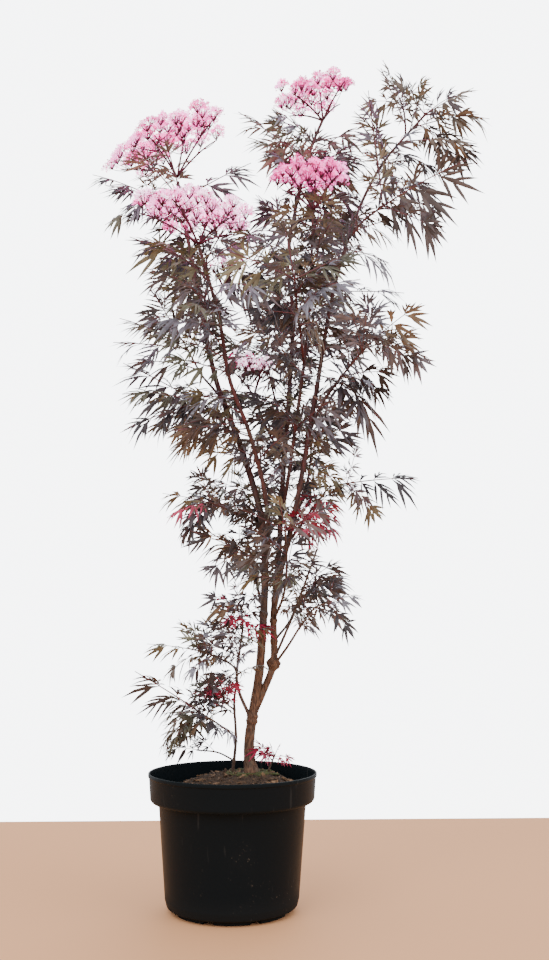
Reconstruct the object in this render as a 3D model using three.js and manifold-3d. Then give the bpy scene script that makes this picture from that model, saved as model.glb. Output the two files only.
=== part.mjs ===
// A black elder in its nursery pot, about one and a half metres tall: a round pot of compost, one short
// trunk that forks low, tall bare boughs that end in leafy stretches, side shoots with pairs of cut
// leaves, and flat heads of pink blossom. Millimetres, +Z up, +Y away from the viewer, +X to the right.
// The origin is the middle of the pot's flat underside.
import * as THREE from 'three';
import { mergeVertices } from 'three/addons/utils/BufferGeometryUtils.js';
import Module from 'manifold-3d';

const wasm = await Module();
wasm.setup();

const degree = Math.PI / 180;
const clearance = 0.3; // gap where one piece stands on or grows from another

// The pot, a ten litre nursery pot with a deep collar and drainage notches round its foot.
const pot = {
  height: 220,
  wall: 2.4,
  footRadius: 96,
  cornerRadius: 110,
  cornerHeight: 20,
  bodyTopRadius: 122,
  collarFootRadius: 136,
  rimRadius: 140,
  collarHeight: 45,
  sides: 32,
  notches: 8,
  notchSize: [22, 16, 9],
};

// The compost, heaped round the trunk and sunk at the wall. Each ring lies at a share of the way from
// the trunk to the wall.
const soil = {
  ringShares: [0.36, 0.55, 0.78, 1],
  ringHeights: [213, 207, 193, 184],
  sides: 16,
};
const soilTop = soil.ringHeights[0];
const trunkFoot = [31, 30, soilTop + clearance];

// A leaf and a spray of blossom are both a blade with side lobes in pairs and one at the end. The
// shares, lengths, widths and thickness are parts of the blade's length or of the lobe's own.
const leafShape = {
  pairShares: [0.34, 0.58],
  pairAngles: [54 * degree, 40 * degree],
  pairLengths: [0.45, 0.43],
  lobeWidth: 0.112,
  widestShare: 0.38,
  lobeDroop: 0.24,
  halfThickness: 0.0068,
  stalkHalfWidth: 1.3,
};
const smallLeafShape = {
  ...leafShape,
  pairShares: [0.5],
  pairAngles: [50 * degree],
  pairLengths: [0.42],
  lobeWidth: 0.13,
};
const blossomShape = {
  pairShares: [0.6, 0.8],
  pairAngles: [78 * degree, 66 * degree],
  pairLengths: [0.3, 0.25],
  lobeWidth: 0.3,
  widestShare: 0.55,
  lobeDroop: 0.05,
  halfThickness: 0.028,
  stalkHalfWidth: 1.2,
};
const blossomArch = 0.3; // how far a ray arches up, as a share of its length

// Turns and sizes that a leaf tries, in this order, until it is clear of every limb and leaf.
const leafTries = [[0, 1], [22, 1], [-22, 1], [0, 0.8], [42, 0.85], [-42, 0.85], [20, 0.62], [-20, 0.62]];
const leafGap = 0.9;
const smallLeaf = 60; // leaves below this size have one pair of lobes
const stalkRoom = 1.5; // half the room that a stalk takes
const jointHalf = 1.2; // half the width and the length of a stalk's joint with its lobes
const rootOut = 0.3; // how far out in its stem a leaf is rooted, as a share of the stem's radius
const rootDepth = 4; // how far below a stem's end its last leaves stand

// How a leaf is thrown: turn and rise in degrees, size as a share, droop as a share of its length.
const leafThrows = { turn: 14, size: [0.88, 1.06], rise: [48, 70], tipRise: [4, 12], droop: [0.04, 0.2] };
const leafTwist = { least: 22, most: 58 };

// Stems: their sides, the flare of the trunk's foot and the spacing of their rings.
const stemSides = { trunk: 12, leafy: 5, bare: 6 };
const flareHeight = 14;
const flareLobes = 0.22;
const flareRings = 4;
const footCrowding = 1.7; // how much the rings of a rod that stands on the compost crowd its foot
const longestRing = 80; // millimetres between two rings of a stem
const sharpestRing = 13 * degree; // and its bend between them
const limbStep = 18; // length of the straight pieces that stand for a limb
const collarRoom = 1.5; // how clear of its parent a limb is where it begins as a piece of its own

// Limbs from the foot up. A limb starts on the axis of its parent, at a share of the parent's length,
// or on the compost. It passes through its points, tapers between its two radii and is cut into parts,
// each up to a share of its length. A part with pairs of leaves is a mass of foliage; a part with a
// head ends in blossom.
const limbs = {
  leader: {
    foot: trunkFoot,
    points: [[27, 30, 256], [46, 30, 393], [54, 30, 560], [49, 32, 641], [17, 40, 757], [-33, 50, 895],
      [-60, 58, 1021], [-109, 72, 1285]],
    radius: [9.4, 2.9],
    taper: 0.65,
    parts: [
      { name: 'trunk', to: 0.21, flare: 5 },
      { name: 'leader_bough', to: 0.44 },
      { name: 'leader_leaves_low', to: 0.7, pairs: 3, leaf: 150, turn: 70 },
      { name: 'leader_leaves_high', to: 0.96, pairs: 3, leaf: 158, turn: 10 },
      { name: 'leader_flower_head', to: 1,
        head: {
          middle: [-132, 72, 1362], width: 254, depth: 196, lean: 25, dome: 38,
          rings: [[5, 1], [2, 0.42]],
        } },
    ],
  },
  front: {
    parent: ['leader', 0.31],
    points: [[60, 14, 622], [51, -8, 694], [28, -25, 780], [-8, -42, 875], [-27, -55, 980],
      [-63, -75, 1104]],
    radius: [4.4, 2.7],
    parts: [
      { name: 'front_bough', to: 0.3 },
      { name: 'front_leaves_low', to: 0.62, pairs: 2, leaf: 148, turn: 20 },
      { name: 'front_leaves_high', to: 0.94, pairs: 3, leaf: 155, turn: 0 },
      { name: 'front_flower_head', to: 1,
        head: {
          middle: [-70, -75, 1166], width: 218, depth: 190, lean: -6, dome: 36,
          rings: [[5, 1], [2, 0.42]],
        } },
    ],
  },
  right: {
    parent: ['leader', 0.087],
    points: [[53, 30, 353], [68, 30, 393], [71, 30, 500], [106, 5, 660], [142, -8, 865], [172, -18, 1039],
      [213, -5, 1178], [264, 8, 1285], [350, 26, 1394]],
    radius: [6.6, 2],
    taper: 0.75,
    parts: [
      { name: 'second_stem', to: 0.22, burl: { share: 0.082, radius: 11 } },
      { name: 'right_bough', to: 0.47 },
      { name: 'right_leaves_low', to: 0.725, pairs: 2, leaf: 145, turn: 80 },
      { name: 'right_leaves_high', to: 0.87, pairs: 2, leaf: 150, turn: 20 },
      { name: 'right_leaves_top', to: 1, pairs: 2, leaf: 128, turn: 0, end: 112 },
    ],
  },
  topFan: {
    parent: ['right', 0.945],
    points: [[308, 14, 1382], [300, 10, 1410]],
    radius: [1.9, 1.3],
    parts: [{ name: 'top_fan_leaves', to: 1, pairs: 1, leaf: 86, turn: 0, end: 92 }],
  },
  middle: {
    parent: ['right', 0.175],
    points: [[80, 38, 610], [86, 45, 715], [97, 50, 860], [105, 56, 1022], [96, 59, 1110], [106, 62, 1196],
      [142, 68, 1346], [163, 70, 1400]],
    radius: [5.2, 2.6],
    parts: [
      { name: 'middle_bough', to: 0.22 },
      { name: 'middle_leaves_low', to: 0.46, pairs: 2, leaf: 150, turn: 70 },
      { name: 'middle_leaves_mid', to: 0.7, pairs: 3, leaf: 150, turn: 10 },
      { name: 'middle_leaves_high', to: 0.95, pairs: 3, leaf: 155, turn: 0 },
      { name: 'middle_flower_head', to: 1,
        head: {
          middle: [143, 70, 1456], width: 168, depth: 150, lean: 15, dome: 26,
          rings: [[4, 1], [1, 0.2]],
        } },
    ],
  },
  inner: {
    parent: ['middle', 0.155],
    points: [[92, 20, 700], [105, 2, 795], [115, -12, 870], [127, -24, 969], [135, -36, 1154],
      [136, -39, 1182]],
    radius: [3.5, 2.3],
    parts: [
      { name: 'inner_bough', to: 0.26 },
      { name: 'inner_leaves_low', to: 0.6, pairs: 2, leaf: 140, turn: 40 },
      { name: 'inner_leaves_high', to: 0.95, pairs: 2, leaf: 140, turn: 0 },
      { name: 'inner_flower_head', to: 1,
        head: {
          middle: [130, -40, 1246], width: 152, depth: 140, lean: -4, dome: 24,
          rings: [[4, 1], [1, 0.2]],
        } },
    ],
  },
  left: {
    parent: ['leader', 0.079],
    points: [[7, 25, 361], [11, 20, 421], [16, 10, 461], [12, 2, 495]],
    radius: [3.2, 1.5],
    parts: [
      { name: 'left_stem', to: 0.45 },
      { name: 'left_leaves', to: 1, pairs: 2, leaf: 84, turn: 0, end: 60 },
    ],
  },
  low: {
    foot: [0, 36, soilTop + clearance],
    points: [[5, 27, 271], [2, 22, 330], [4, 17, 386], [-24, 5, 406], [-60, -12, 420]],
    radius: [2.7, 1.4],
    parts: [
      { name: 'low_stem', to: 0.62 },
      { name: 'low_leaves', to: 1, pairs: 2, leaf: 80, turn: 0, end: 98, bare: 0.45 },
    ],
  },
  lowLeft: {
    parent: ['low', 0.235],
    points: [[-17, 12, 291], [-60, -2, 320]],
    radius: [1.9, 1.2],
    parts: [{ name: 'low_left_leaves', to: 1, pairs: 2, leaf: 92, turn: 0, end: 150, bare: 0.6 }],
  },
  overRim: {
    parent: ['low', 0.08],
    points: [[-25, 38, 246], [-62, 42, 250]],
    radius: [1.7, 1.1],
    parts: [{ name: 'rim_leaves', to: 1, pairs: 1, leaf: 52, turn: 0, end: 62 }],
  },
  arch: {
    parent: ['right', 0.74],
    points: [[200, -38, 1132], [222, -50, 1157], [258, -62, 1182]],
    radius: [2.8, 1.5],
    parts: [{ name: 'arching_leaves', to: 1, pairs: 2, leaf: 140, turn: 0, end: 184, bare: 0.35 }],
  },
  reach: {
    parent: ['right', 0.43],
    points: [[150, -8, 838], [171, -20, 869], [221, -45, 929], [243, -50, 950]],
    radius: [2.8, 1.4],
    parts: [{ name: 'reaching_leaves', to: 1, pairs: 2, leaf: 112, turn: 0, end: 115, bare: 0.35 }],
  },
  spur: {
    parent: ['right', 0.262],
    points: [[114, 25, 630], [144, 34, 672], [170, 38, 702], [204, 43, 710]],
    radius: [2.6, 1.3],
    parts: [{ name: 'spur_leaves', to: 1, pairs: 2, leaf: 96, turn: 0, end: 136, bare: 0.45 }],
  },
  leftUpper: {
    parent: ['leader', 0.6],
    points: [[-40, 40, 880], [-56, 32, 897], [-86, 20, 948]],
    radius: [2.5, 1.4],
    parts: [{ name: 'left_upper_leaves', to: 1, pairs: 1, leaf: 140, turn: 0, end: 140 }],
  },
  leftTip: {
    parent: ['leader', 0.89],
    points: [[-114, 62, 1214], [-154, 56, 1240]],
    radius: [2.4, 1.4],
    parts: [{ name: 'left_tip_leaves', to: 1, pairs: 1, leaf: 118, turn: 0, end: 132 }],
  },
  leftMiddle: {
    parent: ['leader', 0.52],
    points: [[-34, 32, 828], [-68, 26, 852]],
    radius: [2.3, 1.5],
    parts: [{ name: 'left_middle_leaves', to: 1, pairs: 1, leaf: 140, turn: 20, end: 165 }],
  },
  leftLower: {
    parent: ['leader', 0.377],
    points: [[12, 27, 650], [-29, 18, 667], [-44, 12, 672]],
    radius: [2.4, 1.3],
    parts: [{ name: 'left_lower_leaves', to: 1, pairs: 2, leaf: 92, turn: 0, end: 96, bare: 0.45 }],
  },
  leftTuft: {
    parent: ['leader', 0.3],
    points: [[36, 10, 570], [18, -4, 584], [6, -10, 590]],
    radius: [2.2, 1.3],
    parts: [{ name: 'left_tuft_leaves', to: 1, pairs: 1, leaf: 90, turn: 0, end: 110 }],
  },
  cutShoot: {
    parent: ['right', 0.086],
    points: [[108, 38, 490], [146, 42, 593]],
    radius: [2.4, 1.8],
    parts: [{ name: 'cut_shoot', to: 1 }],
  },
  rightLow: {
    parent: ['right', 0.077],
    points: [[92, 8, 425], [117, 2, 464], [140, -5, 492], [164, -10, 500]],
    radius: [2.5, 1.3],
    parts: [{ name: 'right_low_leaves', to: 1, pairs: 2, leaf: 72, turn: 0, end: 66, bare: 0.5 }],
  },
  backHigh: {
    parent: ['middle', 0.3],
    points: [[84, 95, 830], [70, 140, 905], [60, 172, 975]],
    radius: [2.9, 1.4],
    parts: [{ name: 'back_high_leaves', to: 1, pairs: 2, leaf: 145, turn: 0, end: 130, bare: 0.4 }],
  },
  backRight: {
    parent: ['right', 0.3],
    points: [[125, 60, 690], [140, 105, 765], [140, 140, 835]],
    radius: [2.9, 1.4],
    parts: [{ name: 'back_right_leaves', to: 1, pairs: 2, leaf: 132, turn: 0, end: 120, bare: 0.45 }],
  },
  backLeft: {
    parent: ['leader', 0.72],
    points: [[-58, 100, 1040], [-52, 134, 1110], [-56, 152, 1165]],
    radius: [2.7, 1.4],
    parts: [{ name: 'back_left_leaves', to: 1, pairs: 2, leaf: 135, turn: 0, end: 120, bare: 0.45 }],
  },
  frontHigh: {
    parent: ['inner', 0.5],
    points: [[112, -60, 950], [102, -100, 1000], [98, -120, 1032]],
    radius: [2.6, 1.4],
    parts: [{ name: 'front_high_leaves', to: 1, pairs: 2, leaf: 140, turn: 0, end: 130, bare: 0.45 }],
  },
  backLow: {
    parent: ['leader', 0.245],
    points: [[38, 72, 545], [24, 112, 620], [18, 142, 690]],
    radius: [2.7, 1.4],
    parts: [{ name: 'back_low_leaves', to: 1, pairs: 2, leaf: 128, turn: 0, end: 110, bare: 0.4 }],
  },
  frontLow: {
    parent: ['right', 0.145],
    points: [[85, -14, 515], [88, -50, 570], [84, -74, 618]],
    radius: [2.6, 1.4],
    parts: [{ name: 'front_low_leaves', to: 1, pairs: 2, leaf: 108, turn: 0, end: 95, bare: 0.45 }],
  },
  rightBack: {
    parent: ['right', 0.115],
    points: [[100, 68, 470], [124, 92, 528]],
    radius: [2.4, 1.4],
    parts: [{ name: 'right_back_leaves', to: 1, pairs: 2, leaf: 100, turn: 0, end: 90, bare: 0.5 }],
  },
  redTuft: {
    parent: ['low', 0.42],
    points: [[-12, 8, 332], [-17, 0, 350]],
    radius: [1.6, 1.2],
    parts: [{ name: 'red_tuft', to: 1, pairs: 1, leaf: 44, turn: 0, end: 40 }],
  },
  sprout: {
    foot: [60, 40, soilTop + clearance],
    points: [[66, 40, 228], [72, 38, 243]],
    radius: [1.7, 1.2],
    parts: [{ name: 'red_sprout', to: 1, pairs: 1, leaf: 36, turn: 0, end: 30 }],
  },
  paleHead: {
    parent: ['middle', 0.28],
    points: [[62, 56, 800], [34, 60, 872]],
    radius: [2.2, 1.8],
    parts: [
      { name: 'pale_flower_head', to: 1,
        head: {
          middle: [31, 60, 930], width: 86, depth: 84, lean: 0, dome: 20,
          rings: [[3, 1]],
        } },
    ],
  },
  budHead: {
    parent: ['leader', 0.74],
    points: [[-42, 76, 1050], [-20, 82, 1080]],
    radius: [2, 1.4],
    parts: [
      { name: 'bud_head', to: 1,
        head: {
          middle: [-12, 84, 1122], width: 68, depth: 60, lean: 0, dome: 14,
          rings: [[3, 1]],
        } },
    ],
  },
};

// Makes a dice that gives the same throws each time it starts from the same seed.
function diceFrom(seed) {
  let state = seed;
  return (low, high) => {
    state = (state * 16807) % 2147483647;
    return low + ((high - low) * state) / 2147483647;
  };
}

// Turns a closed surface into a solid, with its shared corners joined.
function solidOf(geometry) {
  geometry.deleteAttribute('normal');
  geometry.deleteAttribute('uv');
  const merged = mergeVertices(geometry, 1e-4);
  const corners = merged.index.array;
  const triVerts = [];
  for (let i = 0; i < corners.length; i += 3) {
    const [a, b, c] = [corners[i], corners[i + 1], corners[i + 2]];
    if (a !== b && b !== c && c !== a) {
      triVerts.push(a, b, c);
    }
  }
  return new wasm.Manifold(new wasm.Mesh({
    numProp: 3,
    vertProperties: new Float32Array(merged.attributes.position.array),
    triVerts: new Uint32Array(triVerts),
  }));
}

// Joins overlapping solids into one.
function joined(solids) {
  return solids.reduce((whole, solid) => whole.add(solid));
}

// Gives a solid's surface back as a mesh with its name and material.
function meshOf(name, solid, material) {
  const surface = solid.getMesh();
  const geometry = new THREE.BufferGeometry();
  geometry.setAttribute('position', new THREE.BufferAttribute(new Float32Array(surface.vertProperties), 3));
  geometry.setIndex(new THREE.BufferAttribute(new Uint32Array(surface.triVerts), 1));
  geometry.computeVertexNormals();
  const mesh = new THREE.Mesh(geometry, material);
  mesh.name = name;
  return mesh;
}

// Shares of the pot's inner wall, so that the compost follows it.
const collarFoot = pot.height - pot.collarHeight;
const innerWall = {
  footRadius: pot.cornerRadius - pot.wall,
  bodyTopRadius: pot.bodyTopRadius - pot.wall,
  collarFootRadius: pot.collarFootRadius - pot.wall,
  rimRadius: pot.rimRadius - pot.wall,
};

// The pot: one turned profile of even wall, with a rolled collar and a notched foot.
function potSolid() {
  const profile = [
    [0, 0],
    [pot.footRadius, 0],
    [pot.footRadius + 1, 5],
    [pot.cornerRadius - 3, 9],
    [pot.cornerRadius, pot.cornerHeight],
    [pot.bodyTopRadius, collarFoot - 2],
    [pot.collarFootRadius - 3, collarFoot - 1],
    [pot.collarFootRadius, collarFoot + 3],
    [pot.rimRadius - 0.5, pot.height - 1.5],
    [pot.rimRadius - 1, pot.height],
    [innerWall.rimRadius, pot.height],
    [innerWall.collarFootRadius, collarFoot + pot.wall],
    [innerWall.bodyTopRadius, collarFoot + pot.wall - 2],
    [innerWall.footRadius, pot.cornerHeight],
    [innerWall.footRadius - 6, pot.wall + 6],
    [0, pot.wall + 6],
  ];
  const outline = profile.map(([radius, height]) => new THREE.Vector2(radius, height));
  const shell = solidOf(new THREE.LatheGeometry(outline, pot.sides).rotateX(Math.PI / 2));
  const notches = [];
  for (let i = 0; i < pot.notches; i += 1) {
    const [depth, width, height] = pot.notchSize;
    const notch = new THREE.BoxGeometry(depth, width, height);
    notch.translate(pot.footRadius, 0, 0);
    notch.rotateZ(((i + 0.5) * 2 * Math.PI) / pot.notches);
    notches.push(solidOf(notch));
  }
  return shell.subtract(joined(notches));
}

// The compost: a closed body inside the wall, whose top is a flat patch round the trunk that slopes
// down to the wall.
function soilSolid() {
  const underside = [
    [innerWall.footRadius - 6 - clearance, pot.wall + 6 + clearance],
    [innerWall.footRadius - clearance, pot.cornerHeight + clearance],
    [innerWall.bodyTopRadius - clearance, collarFoot + pot.wall - 2 + clearance],
    [innerWall.collarFootRadius - 2 * clearance, collarFoot + pot.wall + clearance],
  ];
  const wallRadius = underside[3][0];
  const positions = [0, 0, underside[0][1]];
  const ringCount = underside.length + soil.ringShares.length;
  for (let ring = 0; ring < ringCount; ring += 1) {
    for (let side = 0; side < soil.sides; side += 1) {
      const angle = (side * 2 * Math.PI) / soil.sides;
      const topRing = ringCount - 1 - ring;
      if (ring < underside.length) {
        const [radius, height] = underside[ring];
        positions.push(radius * Math.cos(angle), radius * Math.sin(angle), height);
      } else {
        const share = soil.ringShares[topRing];
        const x = trunkFoot[0] + (wallRadius * Math.cos(angle) - trunkFoot[0]) * share;
        const y = trunkFoot[1] + (wallRadius * Math.sin(angle) - trunkFoot[1]) * share;
        positions.push(x, y, soil.ringHeights[topRing]);
      }
    }
  }
  positions.push(trunkFoot[0], trunkFoot[1], soilTop);
  const last = positions.length / 3 - 1;
  const index = [];
  for (let side = 0; side < soil.sides; side += 1) {
    const next = (side + 1) % soil.sides;
    index.push(0, 1 + next, 1 + side);
    for (let ring = 0; ring + 1 < ringCount; ring += 1) {
      const low = 1 + ring * soil.sides;
      const high = low + soil.sides;
      index.push(low + side, low + next, high + next, low + side, high + next, high + side);
    }
    const top = 1 + (ringCount - 1) * soil.sides;
    index.push(top + side, top + next, last);
  }
  const geometry = new THREE.BufferGeometry();
  geometry.setAttribute('position', new THREE.Float32BufferAttribute(positions, 3));
  geometry.setIndex(index);
  return solidOf(geometry);
}

// A place on a path: its middle, the way ahead, and two directions across it.
function placeOn(path, share) {
  const ahead = path.getTangentAt(share);
  const across = new THREE.Vector3(0, 1, 0).cross(ahead).normalize();
  const behind = ahead.clone().cross(across);
  return { middle: path.getPointAt(share), ahead, across, behind };
}

// A tapering round rod along a path, from a unit cylinder that is bent. The rings of a rod that stands
// on the compost crowd its foot, which is cut level.
function rodSolid(path, from, to, radiusAt, sides, rings, stands = false) {
  const crowd = stands ? footCrowding : 1;
  const geometry = new THREE.CylinderGeometry(1, 1, 1, sides, rings);
  const spots = geometry.attributes.position;
  for (let i = 0; i < spots.count; i += 1) {
    const share = from + (to - from) * Math.pow(spots.getY(i) + 0.5, crowd);
    const { middle, across, behind } = placeOn(path, Math.min(share, 1));
    const angle = Math.atan2(spots.getZ(i), spots.getX(i));
    const radius = radiusAt(share, angle);
    middle.addScaledVector(across, spots.getX(i) * radius);
    middle.addScaledVector(behind, -spots.getZ(i) * radius);
    if (stands && share === from) {
      middle.z = soilTop + clearance;
    }
    spots.setXYZ(i, middle.x, middle.y, middle.z);
  }
  return solidOf(geometry);
}

// The shortest way between two straight pieces, each from its start to its end.
function distanceBetween(startA, endA, startB, endB) {
  const alongA = endA.clone().sub(startA);
  const alongB = endB.clone().sub(startB);
  const apart = startA.clone().sub(startB);
  const a = alongA.dot(alongA);
  const e = alongB.dot(alongB);
  const b = alongA.dot(alongB);
  const c = alongA.dot(apart);
  const f = alongB.dot(apart);
  const clamp = (value) => Math.min(Math.max(value, 0), 1);
  const denominator = a * e - b * b;
  let s = denominator > 1e-9 * a * e ? clamp((b * f - c * e) / denominator) : 0;
  let t = (b * s + f) / e;
  if (t < 0) {
    t = 0;
    s = clamp(-c / a);
  } else if (t > 1) {
    t = 1;
    s = clamp((b - c) / a);
  }
  return apart.addScaledVector(alongA, s).addScaledVector(alongB, -t).length();
}

// Routes each limb, from its parent's axis or the compost, with its length and its radius.
function routeLimbs() {
  for (const limb of Object.values(limbs)) {
    const start = limb.parent
      ? limbs[limb.parent[0]].path.getPointAt(limb.parent[1])
      : new THREE.Vector3(...limb.foot);
    const points = limb.points.map((point) => new THREE.Vector3(...point));
    limb.path = new THREE.CatmullRomCurve3([start, ...points]);
    limb.length = limb.path.getLength();
    const [thick, thin] = limb.radius;
    limb.radiusAt = (share) => thick + (thin - thick) * Math.pow(share, limb.taper ?? 1);
  }
}

// Straight pieces along every limb, which leaves keep clear of.
const takenSpace = [];
function claimLimbs() {
  for (const limb of Object.values(limbs)) {
    const count = Math.ceil(limb.length / limbStep);
    for (let i = 0; i < count; i += 1) {
      takenSpace.push({
        start: limb.path.getPointAt(i / count),
        end: limb.path.getPointAt((i + 1) / count),
        radius: limb.radiusAt(i / count),
        limb,
      });
    }
  }
}

// How far out along a limb its side is clear of its parent's side: that far it belongs to the parent.
function collarLength(limb) {
  const parent = limbs[limb.parent[0]];
  const parentPieces = takenSpace.filter((piece) => piece.limb === parent);
  let run = 2;
  let clear = false;
  while (!clear) {
    run += 1;
    const here = limb.path.getPointAt(run / limb.length);
    const next = limb.path.getPointAt((run + 1) / limb.length);
    const reach = limb.radiusAt(run / limb.length) + collarRoom;
    clear = parentPieces.every(
      (piece) => distanceBetween(here, next, piece.start, piece.end) > piece.radius + reach,
    );
  }
  return run;
}

// One blade's skeleton: its stalk arches from its root, and its lobes leave it in pairs.
function bladePlan(root, ahead, size, droop, twist, shape) {
  const up = new THREE.Vector3(0, 0, 1);
  const level = ahead.clone().cross(up).normalize();
  const lift = level.clone().cross(ahead).normalize();
  const side = level.clone().multiplyScalar(Math.cos(twist)).addScaledVector(lift, Math.sin(twist));
  const above = side.clone().cross(ahead).normalize();
  const stalkAt = (share) => root.clone()
    .addScaledVector(ahead, share * size)
    .addScaledVector(up, -droop * share * share * size);
  const lobes = [];
  shape.pairShares.forEach((share, pair) => {
    const along = ahead.clone().addScaledVector(up, -2 * droop * share).normalize();
    const length = shape.pairLengths[pair] * size;
    for (const hand of [1, -1]) {
      const tip = stalkAt(share)
        .addScaledVector(along, length * Math.cos(shape.pairAngles[pair]))
        .addScaledVector(side, length * hand * Math.sin(shape.pairAngles[pair]))
        .addScaledVector(up, -length * shape.lobeDroop);
      lobes.push({ root: stalkAt(share), tip, length });
    }
  });
  const lastShare = shape.pairShares.at(-1);
  lobes.push({ root: stalkAt(lastShare), tip: stalkAt(1), length: (1 - lastShare) * size });
  return { side, above, size, stalkAt, lobes, shape };
}

// A flower head: rays that arch from the top of the stalk to an outer and an inner ring of blossom.
function headPlans(limb, head) {
  const fork = placeOn(limb.path, 1);
  const foot = fork.middle.clone().addScaledVector(fork.ahead, -2);
  const lean = head.lean * degree;
  const plans = [];
  for (const [count, reach] of head.rings) {
    for (let i = 0; i < count; i += 1) {
      const angle = ((i + 0.5 * reach) * 2 * Math.PI) / count;
      const x = reach * 0.5 * head.width * Math.cos(angle);
      const y = reach * 0.5 * head.depth * Math.sin(angle);
      const fall = head.dome * reach * reach;
      const aim = new THREE.Vector3(
        head.middle[0] + x * Math.cos(lean) + fall * Math.sin(lean),
        head.middle[1] + y,
        head.middle[2] + 0.5 * head.dome + x * Math.sin(lean) - fall * Math.cos(lean),
      );
      const root = foot.clone().add(new THREE.Vector3(Math.cos(angle), Math.sin(angle), 0));
      const size = aim.distanceTo(root);
      const ahead = aim.sub(root).divideScalar(size).add(new THREE.Vector3(0, 0, blossomArch));
      plans.push({ ...bladePlan(root, ahead, size, blossomArch, 0, blossomShape), thin: 1.2 });
    }
  }
  return plans;
}

// Takes the room of a blade, so that nothing grows through it later.
function claimBlade(plan, limb) {
  const lastShare = plan.shape.pairShares.at(-1);
  takenSpace.push({ start: plan.stalkAt(0.1), end: plan.stalkAt(lastShare), radius: stalkRoom, limb });
  for (const { root, tip, length } of plan.lobes) {
    takenSpace.push({ start: root, end: tip, radius: plan.shape.lobeWidth * length, limb: null });
  }
}

function claimHeads() {
  for (const limb of Object.values(limbs)) {
    for (const part of limb.parts.filter(({ head }) => head)) {
      part.blades = headPlans(limb, part.head);
      part.blades.forEach((plan) => claimBlade(plan, limb));
    }
  }
}

// The pot's rim and collar, which leaves keep clear of too.
function claimRim() {
  for (let i = 0; i < pot.sides; i += 1) {
    const corner = (side, height) => new THREE.Vector3(
      pot.rimRadius * Math.cos((side * 2 * Math.PI) / pot.sides),
      pot.rimRadius * Math.sin((side * 2 * Math.PI) / pot.sides),
      height,
    );
    for (const height of [pot.height - 24, pot.height - 12, pot.height - 2]) {
      takenSpace.push({ start: corner(i, height), end: corner(i + 1, height), radius: 6, limb: null });
    }
  }
}

// One leaf's skeleton, from a place on its stem.
function leafPlan(place, azimuth, size, throws, thin) {
  const outward = place.across.clone().multiplyScalar(Math.cos(azimuth));
  outward.addScaledVector(place.behind, Math.sin(azimuth));
  const ahead = place.ahead.clone().multiplyScalar(Math.cos(throws.rise));
  ahead.addScaledVector(outward, Math.sin(throws.rise));
  const root = place.middle.clone().addScaledVector(outward, rootOut * thin);
  const shape = size < smallLeaf ? smallLeafShape : leafShape;
  return bladePlan(root, ahead, size, throws.droop, throws.twist, shape);
}

// Whether a leaf hangs above the pot, with every stalk and lobe clear of what is already there.
const lowestLeaf = pot.height + 5;
function isClear(plan, limb) {
  if (plan.lobes.some(({ tip }) => tip.z < lowestLeaf)) {
    return false;
  }
  const joints = [0.1, ...plan.shape.pairShares].map(plan.stalkAt);
  const pieces = joints.slice(1).map((joint, i) => [joints[i], joint, stalkRoom, true]);
  for (const { root, tip, length } of plan.lobes) {
    pieces.push([root, tip, plan.shape.lobeWidth * length, false]);
  }
  return pieces.every(([start, end, radius, isStalk]) => takenSpace.every((piece) => {
    const atHome = isStalk && piece.limb === limb;
    return atHome || distanceBetween(start, end, piece.start, piece.end) > radius + piece.radius + leafGap;
  }));
}

// Grows the pairs of leaves of one mass, and the leaf at its tip. Each pair stands square to the one
// before it.
function growLeaves(limb, part, from, dice) {
  const leaves = [];
  const first = from + (part.to - from) * (part.bare ?? 0.12);
  const last = part.to - rootDepth / limb.length;
  const grow = (share, azimuth, size, rise) => {
    const place = placeOn(limb.path, share);
    const thin = limb.radiusAt(share);
    const tilt = dice(-1, 1);
    const twist = (Math.sign(tilt) * leafTwist.least + tilt * (leafTwist.most - leafTwist.least)) * degree;
    const throws = { rise: rise * degree, droop: dice(...leafThrows.droop), twist };
    const plans = leafTries.map(
      ([turn, scale]) => leafPlan(place, (azimuth + turn) * degree, size * scale, throws, thin),
    );
    const plan = plans.find((option) => isClear(option, limb));
    if (plan) {
      leaves.push({ ...plan, thin });
      claimBlade(plan, limb);
    }
  };
  for (let pair = 0; pair < part.pairs; pair += 1) {
    const share = part.pairs > 1 ? first + ((last - first) * pair) / (part.pairs - 1) : last;
    for (const hand of [0, 180]) {
      const azimuth = part.turn + (part.pairs - 1 - pair) * 90 + hand + dice(-leafThrows.turn, leafThrows.turn);
      grow(share, azimuth, part.leaf * dice(...leafThrows.size), dice(...leafThrows.rise));
    }
  }
  if (part.end) {
    grow(last, dice(0, 360), part.end, dice(...leafThrows.tipRise));
  }
  return leaves;
}

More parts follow.
